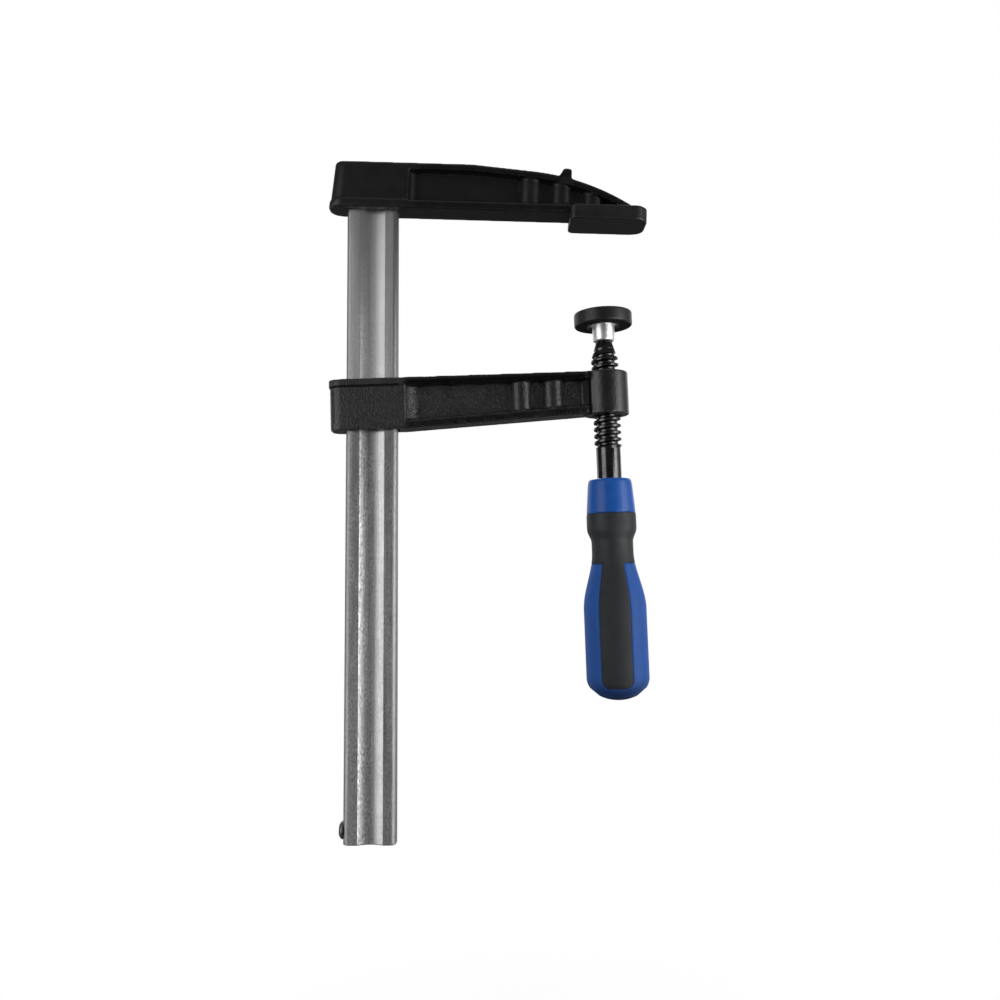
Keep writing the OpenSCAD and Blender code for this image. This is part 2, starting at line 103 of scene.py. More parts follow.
# %% [markdown]
# ## Node helpers
# Materials, the world and the Geometry Nodes tree are all node trees. A node that adds or multiplies two
# numbers takes four lines of code, and a finish needs dozens of them. So a node's output is wrapped in a
# small class that knows plus, minus and times: a finish then reads as a formula, and each sign in it adds
# one Math node. A socket is named by its name or its number, because some nodes have several of one name.

# %% Outputs as formulas
class Signal:
    """The output of a node. It can be added, multiplied, mapped or used to blend; each adds a node."""

    def __init__(self, tree, socket):
        self.tree = tree
        self.socket = socket

    def math(self, operation, *values):
        """A Math node on one or two values."""
        return out(self.tree, "ShaderNodeMath", {"operation": operation}, dict(enumerate(values)))

    def __add__(self, other):
        return self.math("ADD", self, other)

    def __sub__(self, other):
        return self.math("SUBTRACT", self, other)

    def __rsub__(self, other):
        return self.math("SUBTRACT", other, self)

    def __mul__(self, other):
        return self.math("MULTIPLY", self, other)

    def __truediv__(self, other):
        return self.math("DIVIDE", self, other)

    def __abs__(self):
        return self.math("ABSOLUTE", self)

    def most(self, other):
        """The larger of two values."""
        return self.math("MAXIMUM", self, other)

    def least(self, other):
        """The smaller of two values."""
        return self.math("MINIMUM", self, other)

    def ramp(self, from_low, from_high, to_low=0.0, to_high=1.0, smooth=False):
        """Maps a value from one range to another, and holds it at both ends."""
        kind = "SMOOTHSTEP" if smooth else "LINEAR"
        sockets = {"Value": self, "From Min": from_low, "From Max": from_high,
                   "To Min": to_low, "To Max": to_high}
        return out(self.tree, "ShaderNodeMapRange", {"interpolation_type": kind}, sockets)

    def blend(self, first, second):
        """A colour between two colours; the value is the share of the second one."""
        return out(self.tree, "ShaderNodeMix", {"data_type": "RGBA"}, {0: self, 6: first, 7: second}, 2)


print("formulas ready")

# %% Adding nodes
def add(tree, kind, options=None, sockets=None):
    """Adds a node with its options; a socket gets a link where the value is another node's output."""
    made = tree.nodes.new(kind)
    for name, value in (options or {}).items():
        setattr(made, name, value)
    for key, value in (sockets or {}).items():
        if isinstance(value, Signal):
            tree.links.new(value.socket, made.inputs[key])
        else:
            made.inputs[key].default_value = value
    return made


def out(tree, kind, options=None, sockets=None, which=0):
    """Adds a node and returns one of its outputs."""
    return Signal(tree, add(tree, kind, options, sockets).outputs[which])


def split(vector):
    """The three parts of a vector."""
    node = add(vector.tree, "ShaderNodeSeparateXYZ", None, {0: vector})
    return [Signal(vector.tree, part) for part in node.outputs]


def grey(value):
    """A neutral colour."""
    return (value, value, value, 1.0)


def ray_kinds(tree):
    """Two switches: the camera looks, and a mirror or glass looks."""
    path = add(tree, "ShaderNodeLightPath").outputs
    camera_ray, glossy, through = (Signal(tree, path["Is %s Ray" % kind])
                                   for kind in ("Camera", "Glossy", "Transmission"))
    return camera_ray, glossy.most(through)


print("node helpers ready")

# %% [markdown]
# ## Studio
# The photograph has a white ground, a tall soft box at each side and a dark room round them. The dark
# room is what makes polished steel look like steel: its middle mirrors the dark, its sides mirror the
# boxes. Beside the right box stands a low white board, which is why the groove of the rail shines on
# both sides only in its lower half, and a grey wing, which lets the highlights on round pieces fade out.
# The boxes have feet that only mirrors see, which carry the highlights on to the rail's lower end. Two
# weaker boxes behind show the back. White behind the object comes from the world as the camera sees it,
# and mirrors see that backdrop too, but it puts no more light on the object.

# %% World
ROOM_LOW = 0.07
ROOM_HIGH = 0.14
ROOM_ABOVE = 0.35
BACKDROP = 1.0

world = bpy.data.worlds.new("studio")
scene.world = world
world.use_nodes = True
tree = world.node_tree
tree.nodes.clear()
_, toward_y, toward_z = split(out(tree, "ShaderNodeTexCoord", which="Generated"))
walls = toward_z.ramp(-0.35, 0.4).blend(grey(ROOM_LOW), grey(ROOM_HIGH))
room = toward_z.ramp(0.55, 1.0, smooth=True).blend(walls, grey(ROOM_ABOVE))
backdrop = toward_y.ramp(0.72, 0.9, smooth=True) * toward_z.ramp(-0.12, 0.06, smooth=True)
camera_looks, mirror_looks = ray_kinds(tree)
white = camera_looks.most(mirror_looks * backdrop)
background = out(tree, "ShaderNodeBackground", None,
                 {"Color": white.blend(room, grey(BACKDROP)), "Strength": 1.0})
add(tree, "ShaderNodeOutputWorld", None, {"Surface": background})
print("world: room", ROOM_LOW, "to", ROOM_HIGH, "backdrop", BACKDROP)

# %% Soft boxes
AIM = Vector((-0.04, 0.0, -0.2))
BOX_LOW = -0.16
FOOT_LOW = -0.75


def hang(name, lamp, at, target):
    """Hangs a lamp at a place and turns it to a target; the camera never sees it."""
    made = bpy.data.objects.new(name, lamp)
    facing = (target - at).to_track_quat("-Z", "Y").to_matrix().to_4x4()
    made.matrix_world = Matrix.Translation(at) @ facing
    made.visible_camera = False
    scene.collection.objects.link(made)
    return made


def soft_box(name, degrees, distance, low, high, width, glow, mirrors_only=False):
    """An upright lamp at an angle from the camera's side; low and high are heights over the aim."""
    lamp = bpy.data.lights.new(name, "AREA")
    lamp.shape = "RECTANGLE"
    lamp.size = width
    lamp.size_y = high - low
    lamp.energy = glow * math.pi * width * (high - low)
    turn = math.radians(degrees)
    level = Vector((0.0, 0.0, (low + high) / 2))
    away = Vector((distance * math.sin(turn), -distance * math.cos(turn), 0.0))
    made = hang(name, lamp, AIM + away + level, AIM + level)
    made.visible_diffuse = not mirrors_only


soft_box("box_left", -54.0, 0.80, low=BOX_LOW, high=0.52, width=0.56, glow=2.7)
soft_box("box_left_foot", -54.0, 0.80, low=-0.46, high=BOX_LOW, width=0.56, glow=2.7, mirrors_only=True)
soft_box("box_right", 64.0, 0.78, low=BOX_LOW, high=0.37, width=0.36, glow=5.2)
soft_box("box_right_foot", 64.0, 0.78, low=FOOT_LOW, high=BOX_LOW, width=0.36, glow=3.4, mirrors_only=True)
soft_box("board_right", 44.0, 0.80, low=FOOT_LOW, high=0.11, width=0.24, glow=4.6, mirrors_only=True)
soft_box("wing_right", 90.0, 0.80, low=BOX_LOW, high=0.37, width=0.32, glow=1.1, mirrors_only=True)
soft_box("box_behind_left", -136.0, 0.85, low=FOOT_LOW, high=0.50, width=0.36, glow=1.0)
soft_box("box_behind_right", 136.0, 0.85, low=FOOT_LOW, high=0.50, width=0.36, glow=1.0)
print("soft boxes: left, right and two behind")

# %% Fill lamps
def flat_lamp(name, at, size, watts, mirrored=True):
    """A square lamp that faces the clamp, and that mirrors may not see."""
    lamp = bpy.data.lights.new(name, "AREA")
    lamp.size = size
    lamp.energy = watts
    hang(name, lamp, at, AIM).visible_glossy = mirrored


flat_lamp("lamp_top", Vector((-0.05, -0.1, 0.85)), size=0.6, watts=1.2)
flat_lamp("lamp_back", Vector((-0.05, 0.85, 0.80)), size=0.6, watts=6.0)
flat_lamp("lamp_fill", Vector((0.75, -0.25, -0.15)), size=0.4, watts=1.3, mirrored=False)
print("lamps: top, back and fill")

# %% [markdown]
# ## Floor
# The floor is a round sheet of pale paper. It lies below the lowest place that the handle can reach, so
# no pose goes through it. The camera sees it nearly white, with the clamp's soft shadow in its middle, and
# it fades into the backdrop at its rim. In mirrors the paper is thin, so that the foot of the rail still
# shows the low board and the feet of the boxes.

# %% Floor
FLOOR_GAP = 0.004
FLOOR_R = 0.32
FADE_FROM = 0.12
FADE_TO = FLOOR_R * 0.94
PAPER_DARK = 0.08
PAPER_PALE = 0.9
PAPER_SEEN = 0.92
PAPER_MIRRORED = 0.1

slides = [joint for joint in frame["record"]["behaviour"]["joints"] if joint["type"] == "slide"]
lowest_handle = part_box("handle_core")[0][2] + sum(joint["range_m"][0] for joint in slides)
FLOOR_Z = min(cad_box[0][2], lowest_handle) - FLOOR_GAP
floor_ring = []
for degrees in range(0, 360, 5):
    angle = math.radians(degrees)
    floor_ring.append((FLOOR_R * math.cos(angle) + AIM.x, FLOOR_R * math.sin(angle), FLOOR_Z))
floor_mesh = bpy.data.meshes.new("floor")
floor_mesh.from_pydata(floor_ring, [], [tuple(range(len(floor_ring)))])
floor = bpy.data.objects.new("floor", floor_mesh)
scene.collection.objects.link(floor)
floor.visible_shadow = False
print("floor at", round(FLOOR_Z, 4))

# %% Paper
def mix_shaders(factor, first, second):
    """A shader between two shaders."""
    return out(first.tree, "ShaderNodeMixShader", None, {0: factor, 1: first, 2: second})


paper = bpy.data.materials.new("white_paper")
paper.use_nodes = True
tree = paper.node_tree
tree.nodes.clear()
camera_looks, mirror_looks = ray_kinds(tree)
from_middle = out(tree, "ShaderNodeVectorMath", {"operation": "DISTANCE"},
                  {0: out(tree, "ShaderNodeTexCoord", which="Object"), 1: (AIM.x, 0.0, FLOOR_Z)}, "Value")
whiteness = from_middle.ramp(FADE_FROM, FADE_TO, PAPER_SEEN, 1.0, smooth=True)
paper_tone = camera_looks.blend(grey(PAPER_DARK), grey(PAPER_PALE))
shaded_paper = out(tree, "ShaderNodeBsdfDiffuse", None, {"Color": paper_tone})
white_glow = out(tree, "ShaderNodeEmission", None, {"Color": grey(1.0), "Strength": 1.0})
sheet = mix_shaders(camera_looks * whiteness, shaded_paper, white_glow)
veil = mix_shaders(PAPER_MIRRORED, out(tree, "ShaderNodeBsdfTransparent"), white_glow)
add(tree, "ShaderNodeOutputMaterial", None, {"Surface": mix_shaders(mirror_looks, sheet, veil)})
floor_mesh.materials.append(paper)
print("paper:", paper.name)

# %% [markdown]
# ## Shared surface effects
# Four effects come back in several finishes, so each is one node group. Cloud is slow tonal change over
# a surface. Skin is the fine bumpiness that sand, moulds and plating leave. Streaks run along a drawn or
# turned piece. Rim wear lightens the edges that hands and other tools rub, and also paints a highlight
# along them; it reads how sharply the mesh bends, a number that the castings carry on every point.

# %% Shared surface effects
SOCKET_KINDS = {int: "NodeSocketInt", float: "NodeSocketFloat", tuple: "NodeSocketVector"}


def new_tree(name, kind, inputs, output, output_kind):
    """An empty node group with named inputs and one output; returns the group and its inputs."""
    tree = bpy.data.node_groups.new(name, kind)
    for label, value in inputs.items():
        socket_kind = SOCKET_KINDS[type(value)]
        tree.interface.new_socket(label, in_out="INPUT", socket_type=socket_kind).default_value = value
    tree.interface.new_socket(output, in_out="OUTPUT", socket_type=output_kind)
    return tree, {socket.name: Signal(tree, socket) for socket in tree.nodes.new("NodeGroupInput").outputs}


def give_out(value):
    """Links a value to its group's output."""
    value.tree.links.new(value.socket, value.tree.nodes.new("NodeGroupOutput").inputs[0])


def new_effect(name, output, **inputs):
    """An empty shader group that reads a place."""
    inputs = {"Vector": (0.0, 0.0, 0.0), **inputs}
    return new_tree(name, "ShaderNodeTree", inputs, output, "NodeSocketFloat")


def noise_at(vector, scale, detail=3.0, roughness=0.6):
    """Soft noise from 0 to 1."""
    sockets = {"Vector": vector, "Scale": scale, "Detail": detail, "Roughness": roughness}
    return out(vector.tree, "ShaderNodeTexNoise", None, sockets)


cloud, given = new_effect("cloud", "Value", Scale=60.0)
give_out(noise_at(given["Vector"], given["Scale"], 4.0, 0.55).ramp(0.3, 0.7))

skin, given = new_effect("skin", "Height", Scale=900.0, Pits=0.3)
cells = out(skin, "ShaderNodeTexVoronoi", {"feature": "SMOOTH_F1"},
            {"Vector": given["Vector"], "Scale": given["Scale"]}, "Distance")
give_out(noise_at(given["Vector"], given["Scale"]) + cells.ramp(0.05, 0.45) * given["Pits"])

streaks, given = new_effect("streaks", "Value", Across=900.0, Along=25.0)
stretch = out(streaks, "ShaderNodeCombineXYZ", None,
              {0: given["Across"], 1: given["Across"], 2: given["Along"]})
stretched = out(streaks, "ShaderNodeVectorMath", {"operation": "MULTIPLY"}, {0: given["Vector"], 1: stretch})
give_out(noise_at(stretched, 1.0))

# Edge wear, which also lays a painted highlight along the edges.
rim_wear_and_sheen, given = new_effect("rim_wear_and_sheen", "Mask", Rim=0.5, Start=0.6, End=0.9, Scale=300.0)
patchy = noise_at(given["Vector"], given["Scale"]).ramp(0.3, 0.65)
give_out(given["Rim"].ramp(given["Start"], given["End"], smooth=True) * patchy)
print("groups:", ", ".join(group.name for group in (cloud, skin, streaks, rim_wear_and_sheen)))

# %% Material helpers
def new_material(name, metallic, options):
    """A material with a Principled shader; returns the material, the shader and the place on the object."""
    made = bpy.data.materials.new(name)
    made.use_nodes = True
    tree = made.node_tree
    tree.nodes.clear()
    shader = add(tree, "ShaderNodeBsdfPrincipled", None, {"Metallic": metallic, **options})
    add(tree, "ShaderNodeOutputMaterial", None, {"Surface": Signal(tree, shader.outputs[0])})
    return made, shader, out(tree, "ShaderNodeTexCoord", which="Object")


def effect(group, place, **values):
    """Places a shared effect in a material and returns its output."""
    return out(place.tree, "ShaderNodeGroup", {"node_tree": group}, {"Vector": place, **values})


def finish_shader(shader, colour, roughness, height, depth, strength):
    """Links colour, roughness and bump to the shader."""
    bump = out(colour.tree, "ShaderNodeBump", None,
               {"Strength": strength, "Distance": depth, "Height": height})
    for label, value in (("Base Color", colour), ("Roughness", roughness), ("Normal", bump)):
        colour.tree.links.new(value.socket, shader.inputs[label])


print("material helpers ready")

# %% [markdown]
# ## Finish of the rail
# The rail is drawn steel with thin zinc on it. Drawing leaves faint lines along its length, which spread
# a highlight across the rail and keep it sharp along it, so the shader is anisotropic. Handling leaves
# a salt and pepper of small specks, more of them below the jaw, and few on the flank that the jaw rubs.
# Above the jaw the zinc is still matt. The round edges never touched the die, so they are dull and dark.

# %% Rail finish
RAIL_X = -135.0
RUBBED_X = RAIL_X + 5.0
EDGE_FROM = 12.1
EDGE_TO = 12.9
HANDLED_FROM = -0.04
HANDLED_BELOW = -0.15
MATT_FROM = -0.12
MATT_ABOVE = -0.10

zinc, shader, place = new_material("rail_zinc", 1.0, {"Anisotropic": 0.75})
x, _, z = split(place)
draw_lines = effect(streaks, place, Across=1100.0, Along=14.0)
specks = effect(streaks, place, Across=1000.0, Along=480.0)
clusters = effect(streaks, place, Across=260.0, Along=60.0)
tone = effect(cloud, place, Scale=45.0)
unrubbed = abs(x - RUBBED_X * MM).ramp(2.5 * MM, 4.5 * MM, 0.35, 1.0)
patches = clusters.ramp(0.40, 0.58, 0.35, 1.0) * unrubbed
handled = z.ramp(HANDLED_FROM, HANDLED_BELOW, 0.3, 1.0) * patches
edge = abs(x - RAIL_X * MM).ramp(EDGE_FROM * MM, EDGE_TO * MM)
matt = z.ramp(MATT_FROM, MATT_ABOVE) * (1.0 - edge)
speck_tone = specks.ramp(0.36, 0.62).blend(grey(0.15), grey(0.44))
line_tone = draw_lines.ramp(0.35, 0.65).blend(grey(0.28), grey(0.37))
cloud_tone = (tone * 0.7).blend(line_tone, grey(0.23))
used_tone = (handled * 0.9).blend(cloud_tone, speck_tone)
face_tone = (matt * 0.25).blend(used_tone, grey(0.55))
colour = (edge * 0.85).blend(face_tone, grey(0.22))
drawn = draw_lines.ramp(0.3, 0.7, 0.26, 0.32) + matt * 0.11
roughness = drawn + handled * specks.ramp(0.35, 0.65, 0.08, 0.0) + edge * 0.11
height = draw_lines + specks * handled * 1.5
finish_shader(shader, colour, roughness, height, depth=0.00006, strength=0.6)
print("finish:", zinc.name)

# %% [markdown]
# ## Finish of the castings
# The fixed jaw is a smooth casting under black lacquer; the sliding jaw shows its rough sand skin under
# thin black. Both use the same effects with other sizes: skin for bumps, cloud for tone, rim wear and a
# painted highlight for the edges. Inner corners get painted shade: a darker colour, no gloss, and metal,
# since a black metal mirrors nothing. The flanges are smoother, where the flash of the mould was ground
# off, and so is the boss; the flanges are also painted darker as painted shade. A bump only bends the
# light, so the large lumps are in the mesh as well.

# %% Casting finishes
def casting(name, tones, worn_and_sheen_tone, rough, skin_scale, pits, depth, wear, gloss, flange_metal_shade):
    """Black cast iron; an edge turns bright between the two wear values of rim, as wear and as a painted
    highlight; inner corners and flanges get painted shade.
    """
    made, shader, place = new_material(name, 0.0, {"Specular IOR Level": gloss})
    dark, light = tones
    rim, ground_and_shade, sand = (out(place.tree, "ShaderNodeAttribute", {"attribute_name": label}, which="Fac")
                         for label in ("rim", "ground_and_shade", "sand"))
    tone = effect(cloud, place, Scale=170.0)
    grit = effect(skin, place, Scale=skin_scale, Pits=pits)
    fine = effect(skin, place, Scale=skin_scale * 2.7, Pits=0.0)
    # Lighter edges: partly wear, partly a painted highlight.
    rubbed_and_sheen = effect(rim_wear_and_sheen, place, Rim=rim, Start=wear[0], End=wear[1], Scale=320.0)
    grains = tone * 0.35 + grit.ramp(0.35, 1.0) * 0.65
    skin_tone = (grains * sand).blend(grey(dark), grey(light))
    # Painted shade: inner corners and the painted shadow lines turn darker, rougher and metallic.
    hollow = rim.ramp(0.2, 0.46, 1.0, 0.0)
    shade_metallic = (hollow * 0.85).most(ground_and_shade * flange_metal_shade)
    place.tree.links.new(shade_metallic.socket, shader.inputs["Metallic"])
    # Painted shade: the flanges are painted darker, and on the sand casting also more metallic.
    flanges = ground_and_shade.blend(skin_tone, grey(dark * 0.4))
    shaded = (hollow * 0.8).blend(flanges, grey(dark * 0.2))
    colour = rubbed_and_sheen.blend(shaded, grey(worn_and_sheen_tone))
    uneven = (tone * 0.6 + fine * 0.4).ramp(0.2, 0.9, *rough)
    roughness = uneven - ground_and_shade * 0.08 + hollow * 0.35
    finish_shader(shader, colour, roughness, (grit + fine * 0.35) * sand, depth, strength=1.0)
    return made


lacquer = casting("jaw_lacquer", tones=(0.0045, 0.0090), worn_and_sheen_tone=0.020, rough=(0.36, 0.46), skin_scale=700.0,
                  pits=0.15, depth=0.00005, wear=(0.66, 0.95), gloss=0.3, flange_metal_shade=0.0)
sand_cast = casting("jaw_sand_cast", tones=(0.0045, 0.0170), worn_and_sheen_tone=0.045, rough=(0.28, 0.40),
                    skin_scale=900.0, pits=0.6, depth=0.00026, wear=(0.62, 0.92), gloss=0.46, flange_metal_shade=0.6)
print("finishes:", lacquer.name, sand_cast.name)

# %% [markdown]
# ## Finish of the plastics
# The shoe on the fixed jaw and the cap on the plate are one black plastic with a fine spark-eroded grain;
# the cap's inside has a rougher copy of it, painted darker as painted shade. The handle has two plastics:
# hard satin blue, which hands have dulled and darkened on the belly, and soft grey that takes up the light.
# The dome at the handle's end is painted darker, as painted shade.

# %% Plastic finishes
HELD_FROM = -0.190
HELD_BELOW = -0.207
DOME_FROM = -0.262
DOME_BELOW = -0.279
HELD_GRIME = 0.15
# The second share darkens the dome at the handle's lower end, as painted shade.
DOME_SHADE = 0.5


def plastic(name, colours, rough, grain, depth, gloss, dulled=0.0):
    """Moulded plastic with two close colours, a fine grain and uneven gloss, duller and darker where hands
    hold it, and darker on the dome as painted shade.
    """
    made, shader, place = new_material(name, 0.0, {"Specular IOR Level": gloss})
    tone = effect(cloud, place, Scale=90.0)
    fine = effect(skin, place, Scale=grain, Pits=0.2)
    colour = tone.blend(*colours)
    roughness = (tone * 0.5 + fine * 0.5).ramp(0.25, 0.85, *rough)
    if dulled:
        z = split(place)[2]
        roughness = roughness + z.ramp(HELD_FROM, HELD_BELOW, 0.0, dulled)
        # Painted shade on the dome at the handle's lower end; the belly's share is grime.
        dome_shade = z.ramp(DOME_FROM, DOME_BELOW, 0.0, DOME_SHADE)
        grime_and_shade = z.ramp(HELD_FROM, HELD_BELOW, 0.0, HELD_GRIME) + dome_shade
        colour = grime_and_shade.blend(colour, grey(0.004))
    finish_shader(shader, colour, roughness, fine, depth, strength=0.8)
    return made


black_plastic = plastic("cap_black", colours=(grey(0.0065), grey(0.0105)), rough=(0.36, 0.48),
                        grain=2600.0, depth=0.00004, gloss=0.38)
# A darker, rougher copy of the cap's plastic for its faces that look down: painted shade.
shaded_underside_plastic = plastic("cap_black_shaded_inside", colours=(grey(0.0030), grey(0.0050)), rough=(0.75, 0.90),
                       grain=2600.0, depth=0.00004, gloss=0.1)
BLUES = ((0.0098, 0.094, 0.410, 1.0), (0.0128, 0.112, 0.475, 1.0))
blue_plastic = plastic("handle_blue", colours=BLUES, rough=(0.32, 0.40),
                       grain=1900.0, depth=0.000015, gloss=0.26, dulled=0.24)
SOFT_GREYS = ((0.0102, 0.0124, 0.0156, 1.0), (0.0142, 0.0168, 0.0206, 1.0))
soft_plastic = plastic("handle_soft", colours=SOFT_GREYS, rough=(0.50, 0.64),
                       grain=3000.0, depth=0.00005, gloss=0.38, dulled=0.1)
print("finishes:", black_plastic.name, shaded_underside_plastic.name, blue_plastic.name, soft_plastic.name)

# %% [markdown]
# ## Finish of the bright and dark steels
# The spindle is blackened steel, rolled and oiled, so it mirrors the soft boxes sharply and stays almost
# black between them. The plate has bright plating, the rivet is dull dark steel and the hidden ring is
# plain wire. One function makes all four, because only tone and gloss differ.

# %% Steel finishes
SHANK_BELOW = -0.1345


def steel(name, tones, rough, across, along, depth, rolled=0.0):
    """Metal with turning lines, from a darker to a lighter tone; rolled roughens it above the shank."""
    made, shader, place = new_material(name, 1.0, {})
    lines = effect(streaks, place, Across=across, Along=along)
    tone = effect(cloud, place, Scale=220.0)
    colour = tone.blend(grey(tones[0]), grey(tones[1]))
    roughness = (tone * 0.5 + lines * 0.5).ramp(0.25, 0.75, *rough)
    if rolled:
        roughness = roughness + split(place)[2].ramp(SHANK_BELOW, SHANK_BELOW + MM, 0.0, rolled)
    finish_shader(shader, colour, roughness, lines, depth, strength=0.5)
    return made


black_steel = steel("spindle_black", (0.050, 0.080), (0.13, 0.19), 40.0, 900.0, depth=0.000004, rolled=0.09)
plating = steel("plate_plating", (0.66, 0.78), (0.38, 0.48), 60.0, 1500.0, depth=0.000004)
dull_steel = steel("rivet_dull", (0.10, 0.17), (0.32, 0.45), 700.0, 700.0, depth=0.00002)
wire = steel("ring_wire", (0.50, 0.62), (0.22, 0.34), 500.0, 500.0, depth=0.00001)
print("finishes:", black_steel.name, plating.name, dull_steel.name, wire.name)

# %% [markdown]
# ## Putting a piece in place
# Each piece is a plain mesh in the clamp's own frame. It rides on a body of the clamp, so it moves with
# the joint, and it takes the place of one of the solids, which is hidden.

# %% Putting a piece in place
def put(name, mesh, finish, body, node):
    """Makes the object, gives it its finish, ties it to its body and hides the solid it replaces."""
    mesh.materials.clear()
    mesh.materials.append(finish)
    made = bpy.data.objects.new(name, mesh)
    scene.collection.objects.link(made)
    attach(made, body)
    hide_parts(node)
    print(name, "has", sum(len(face.vertices) - 2 for face in mesh.polygons), "triangles")


def shade_smooth(mesh, sharp_degrees=180.0):
    """Shades the faces smooth, apart from edges sharper than the angle."""
    mesh.polygons.foreach_set("use_smooth", [True] * len(mesh.polygons))
    mesh.set_sharp_from_angle(angle=math.radians(sharp_degrees))


def mesh_from(name, points, faces, sharp_degrees):
    """A smooth-shaded mesh that keeps its sharp edges; points are in millimetres."""
    mesh = bpy.data.meshes.new(name)
    mesh.from_pydata([tuple(v * MM for v in point) for point in points], [], faces)
    work = bmesh.new()
    work.from_mesh(mesh)
    bmesh.ops.remove_doubles(work, verts=work.verts, dist=1e-7)
    loose = [vertex for vertex in work.verts if not vertex.link_faces]
    bmesh.ops.delete(work, geom=loose, context="VERTS")
    bmesh.ops.recalc_face_normals(work, faces=work.faces)
    work.to_mesh(mesh)
    work.free()
    shade_smooth(mesh, sharp_degrees)
    return mesh


def ring_faces(rows, count, start=0):
    """Four-sided faces between neighbouring rows of points, where each row is a closed ring."""
    faces = []
    for base in range(start, start + (rows - 1) * count, count):
        for i in range(count):
            j = (i + 1) % count
            faces.append((base + i, base + j, base + count + j, base + count + i))
    return faces


print("pieces can be placed")

# %% [markdown]
# ## Rail
# The rail is one section pushed through a die, so the mesh is that section repeated at a few heights.
# Its corners are round, which shines as a strip along each edge, and each broad face has a shallow hollow,
# an arc of a circle. The hollow gets steeper towards both sides: that is what gives it two long
# highlights, each sharp on one side and soft on the other. The lower end is ground off.

# %% Section of the rail
RAIL_W = 30.0
RAIL_T = 10.0
RAIL_ROUND = 2.8
ROUND_STEPS = 10
GROOVE_W = 15.3
GROOVE_DEPTH = 2.15
GROOVE_R = ((GROOVE_W / 2) ** 2 + GROOVE_DEPTH ** 2) / (2 * GROOVE_DEPTH)
GROOVE_ASIDE = 0.6
GROOVE_STEPS = 24


def rail_quarter():
    """A quarter of the rail's section, from the groove's middle to the middle of the narrow edge."""
    points = []
    for step in range(GROOVE_STEPS + 1):
        x = GROOVE_W / 2 * step / GROOVE_STEPS
        points.append((x, RAIL_T / 2 - GROOVE_DEPTH + GROOVE_R - math.sqrt(GROOVE_R ** 2 - x ** 2)))
    middle = (RAIL_W / 2 - RAIL_ROUND, RAIL_T / 2 - RAIL_ROUND)
    for step in range(ROUND_STEPS + 1):
        angle = math.radians(90 - 90 / ROUND_STEPS * step)
        points.append((middle[0] + RAIL_ROUND * math.cos(angle), middle[1] + RAIL_ROUND * math.sin(angle)))
    points.append((RAIL_W / 2, 0.0))
    return points


quarter = rail_quarter()
half = quarter + [(x, -y) for x, y in reversed(quarter[:-1])]
even_section = half + [(-x, y) for x, y in reversed(half[1:-1])]
section = [(x + GROOVE_ASIDE if abs(x) <= GROOVE_W / 2 else x, y) for x, y in even_section]
print("the rail's section has", len(section), "points")

# %% Rail
RAIL_TOP = 35.368
RAIL_BOTTOM = -358.132
END_CHAMFER = 0.5

levels = [(RAIL_BOTTOM, END_CHAMFER), (RAIL_BOTTOM + END_CHAMFER, 0.0),
          (RAIL_TOP - END_CHAMFER, 0.0), (RAIL_TOP, END_CHAMFER)]
points = []
for height, inset in levels:
    for x, y in section:
        points.append((RAIL_X + x * (1 - inset * 2 / RAIL_W), y * (1 - inset * 2 / RAIL_T), height))
faces = ring_faces(len(levels), len(section))
faces.append(tuple(reversed(range(len(section)))))
faces.append(tuple(range(len(points) - len(section), len(points))))
put("rail", mesh_from("rail", points, faces, 12.0), zinc, "frame", "guide_rail")

# %% [markdown]
# ## Castings
# A casting has no sharp edge anywhere: sand can't hold one, and the pattern has fillets so that the iron
# flows. The solids have sharp edges, so a copy is turned into an even net of small squares (a voxel
# remesh) and relaxed a few times. That rounds every edge and fills every inner corner by about a
# millimetre, as on the real piece. How sharply the net still bends is kept on each point as "rim".

# %% Net of a solid
def even_net(node, voxel):
    """A merged copy of a solid as an even net of squares."""
    mesh = frame["nodes"][node].data.copy()
    work = bmesh.new()
    work.from_mesh(mesh)
    bmesh.ops.remove_doubles(work, verts=work.verts, dist=1e-6)
    work.to_mesh(mesh)
    work.free()
    copy = bpy.data.objects.new(node + "_net", mesh)
    scene.collection.objects.link(copy)
    remesh = copy.modifiers.new("net", "REMESH")
    remesh.mode = "VOXEL"
    remesh.voxel_size = voxel * MM
    evaluated = copy.evaluated_get(bpy.context.evaluated_depsgraph_get())
    net = bpy.data.meshes.new_from_object(evaluated)
    net.name = node + "_net"
    bpy.data.objects.remove(copy)
    bpy.data.meshes.remove(mesh)
    print(node, "net has", len(net.vertices), "points")
    return net


def read_points(mesh, what="co"):
    """The places or normals of all points, as rows of three numbers."""
    values = np.empty(len(mesh.vertices) * 3)
    mesh.vertices.foreach_get(what, values)
    return values.reshape(-1, 3)


def write_points(mesh, place):
    """Puts the points at new places."""
    mesh.vertices.foreach_set("co", place.ravel())
    mesh.update()


def neighbours(mesh):
    """A function that gives the mean of a value over each point's neighbours."""
    ends = np.empty(len(mesh.edges) * 2, dtype=np.int64)
    mesh.edges.foreach_get("vertices", ends)
    ends = ends.reshape(-1, 2)
    both = np.concatenate([ends, ends[:, ::-1]])
    total = len(mesh.vertices)
    links = np.bincount(both[:, 0], minlength=total)

    def mean(values):
        return np.bincount(both[:, 0], weights=values[both[:, 1]], minlength=total) / links

    return mean


def middles(mean, place):
    """The middle of each point's neighbours."""
    return np.stack([mean(place[:, axis]) for axis in range(3)], axis=1)


def relax(mesh, passes):
    """Moves each point half way to the middle of its neighbours, several times."""
    mean = neighbours(mesh)
    place = read_points(mesh)
    for _ in range(passes):
        place = 0.5 * (place + middles(mean, place))
    write_points(mesh, place)


print("nets can be made and relaxed")

# %% Rims and hollows
FULL_BEND = 0.3
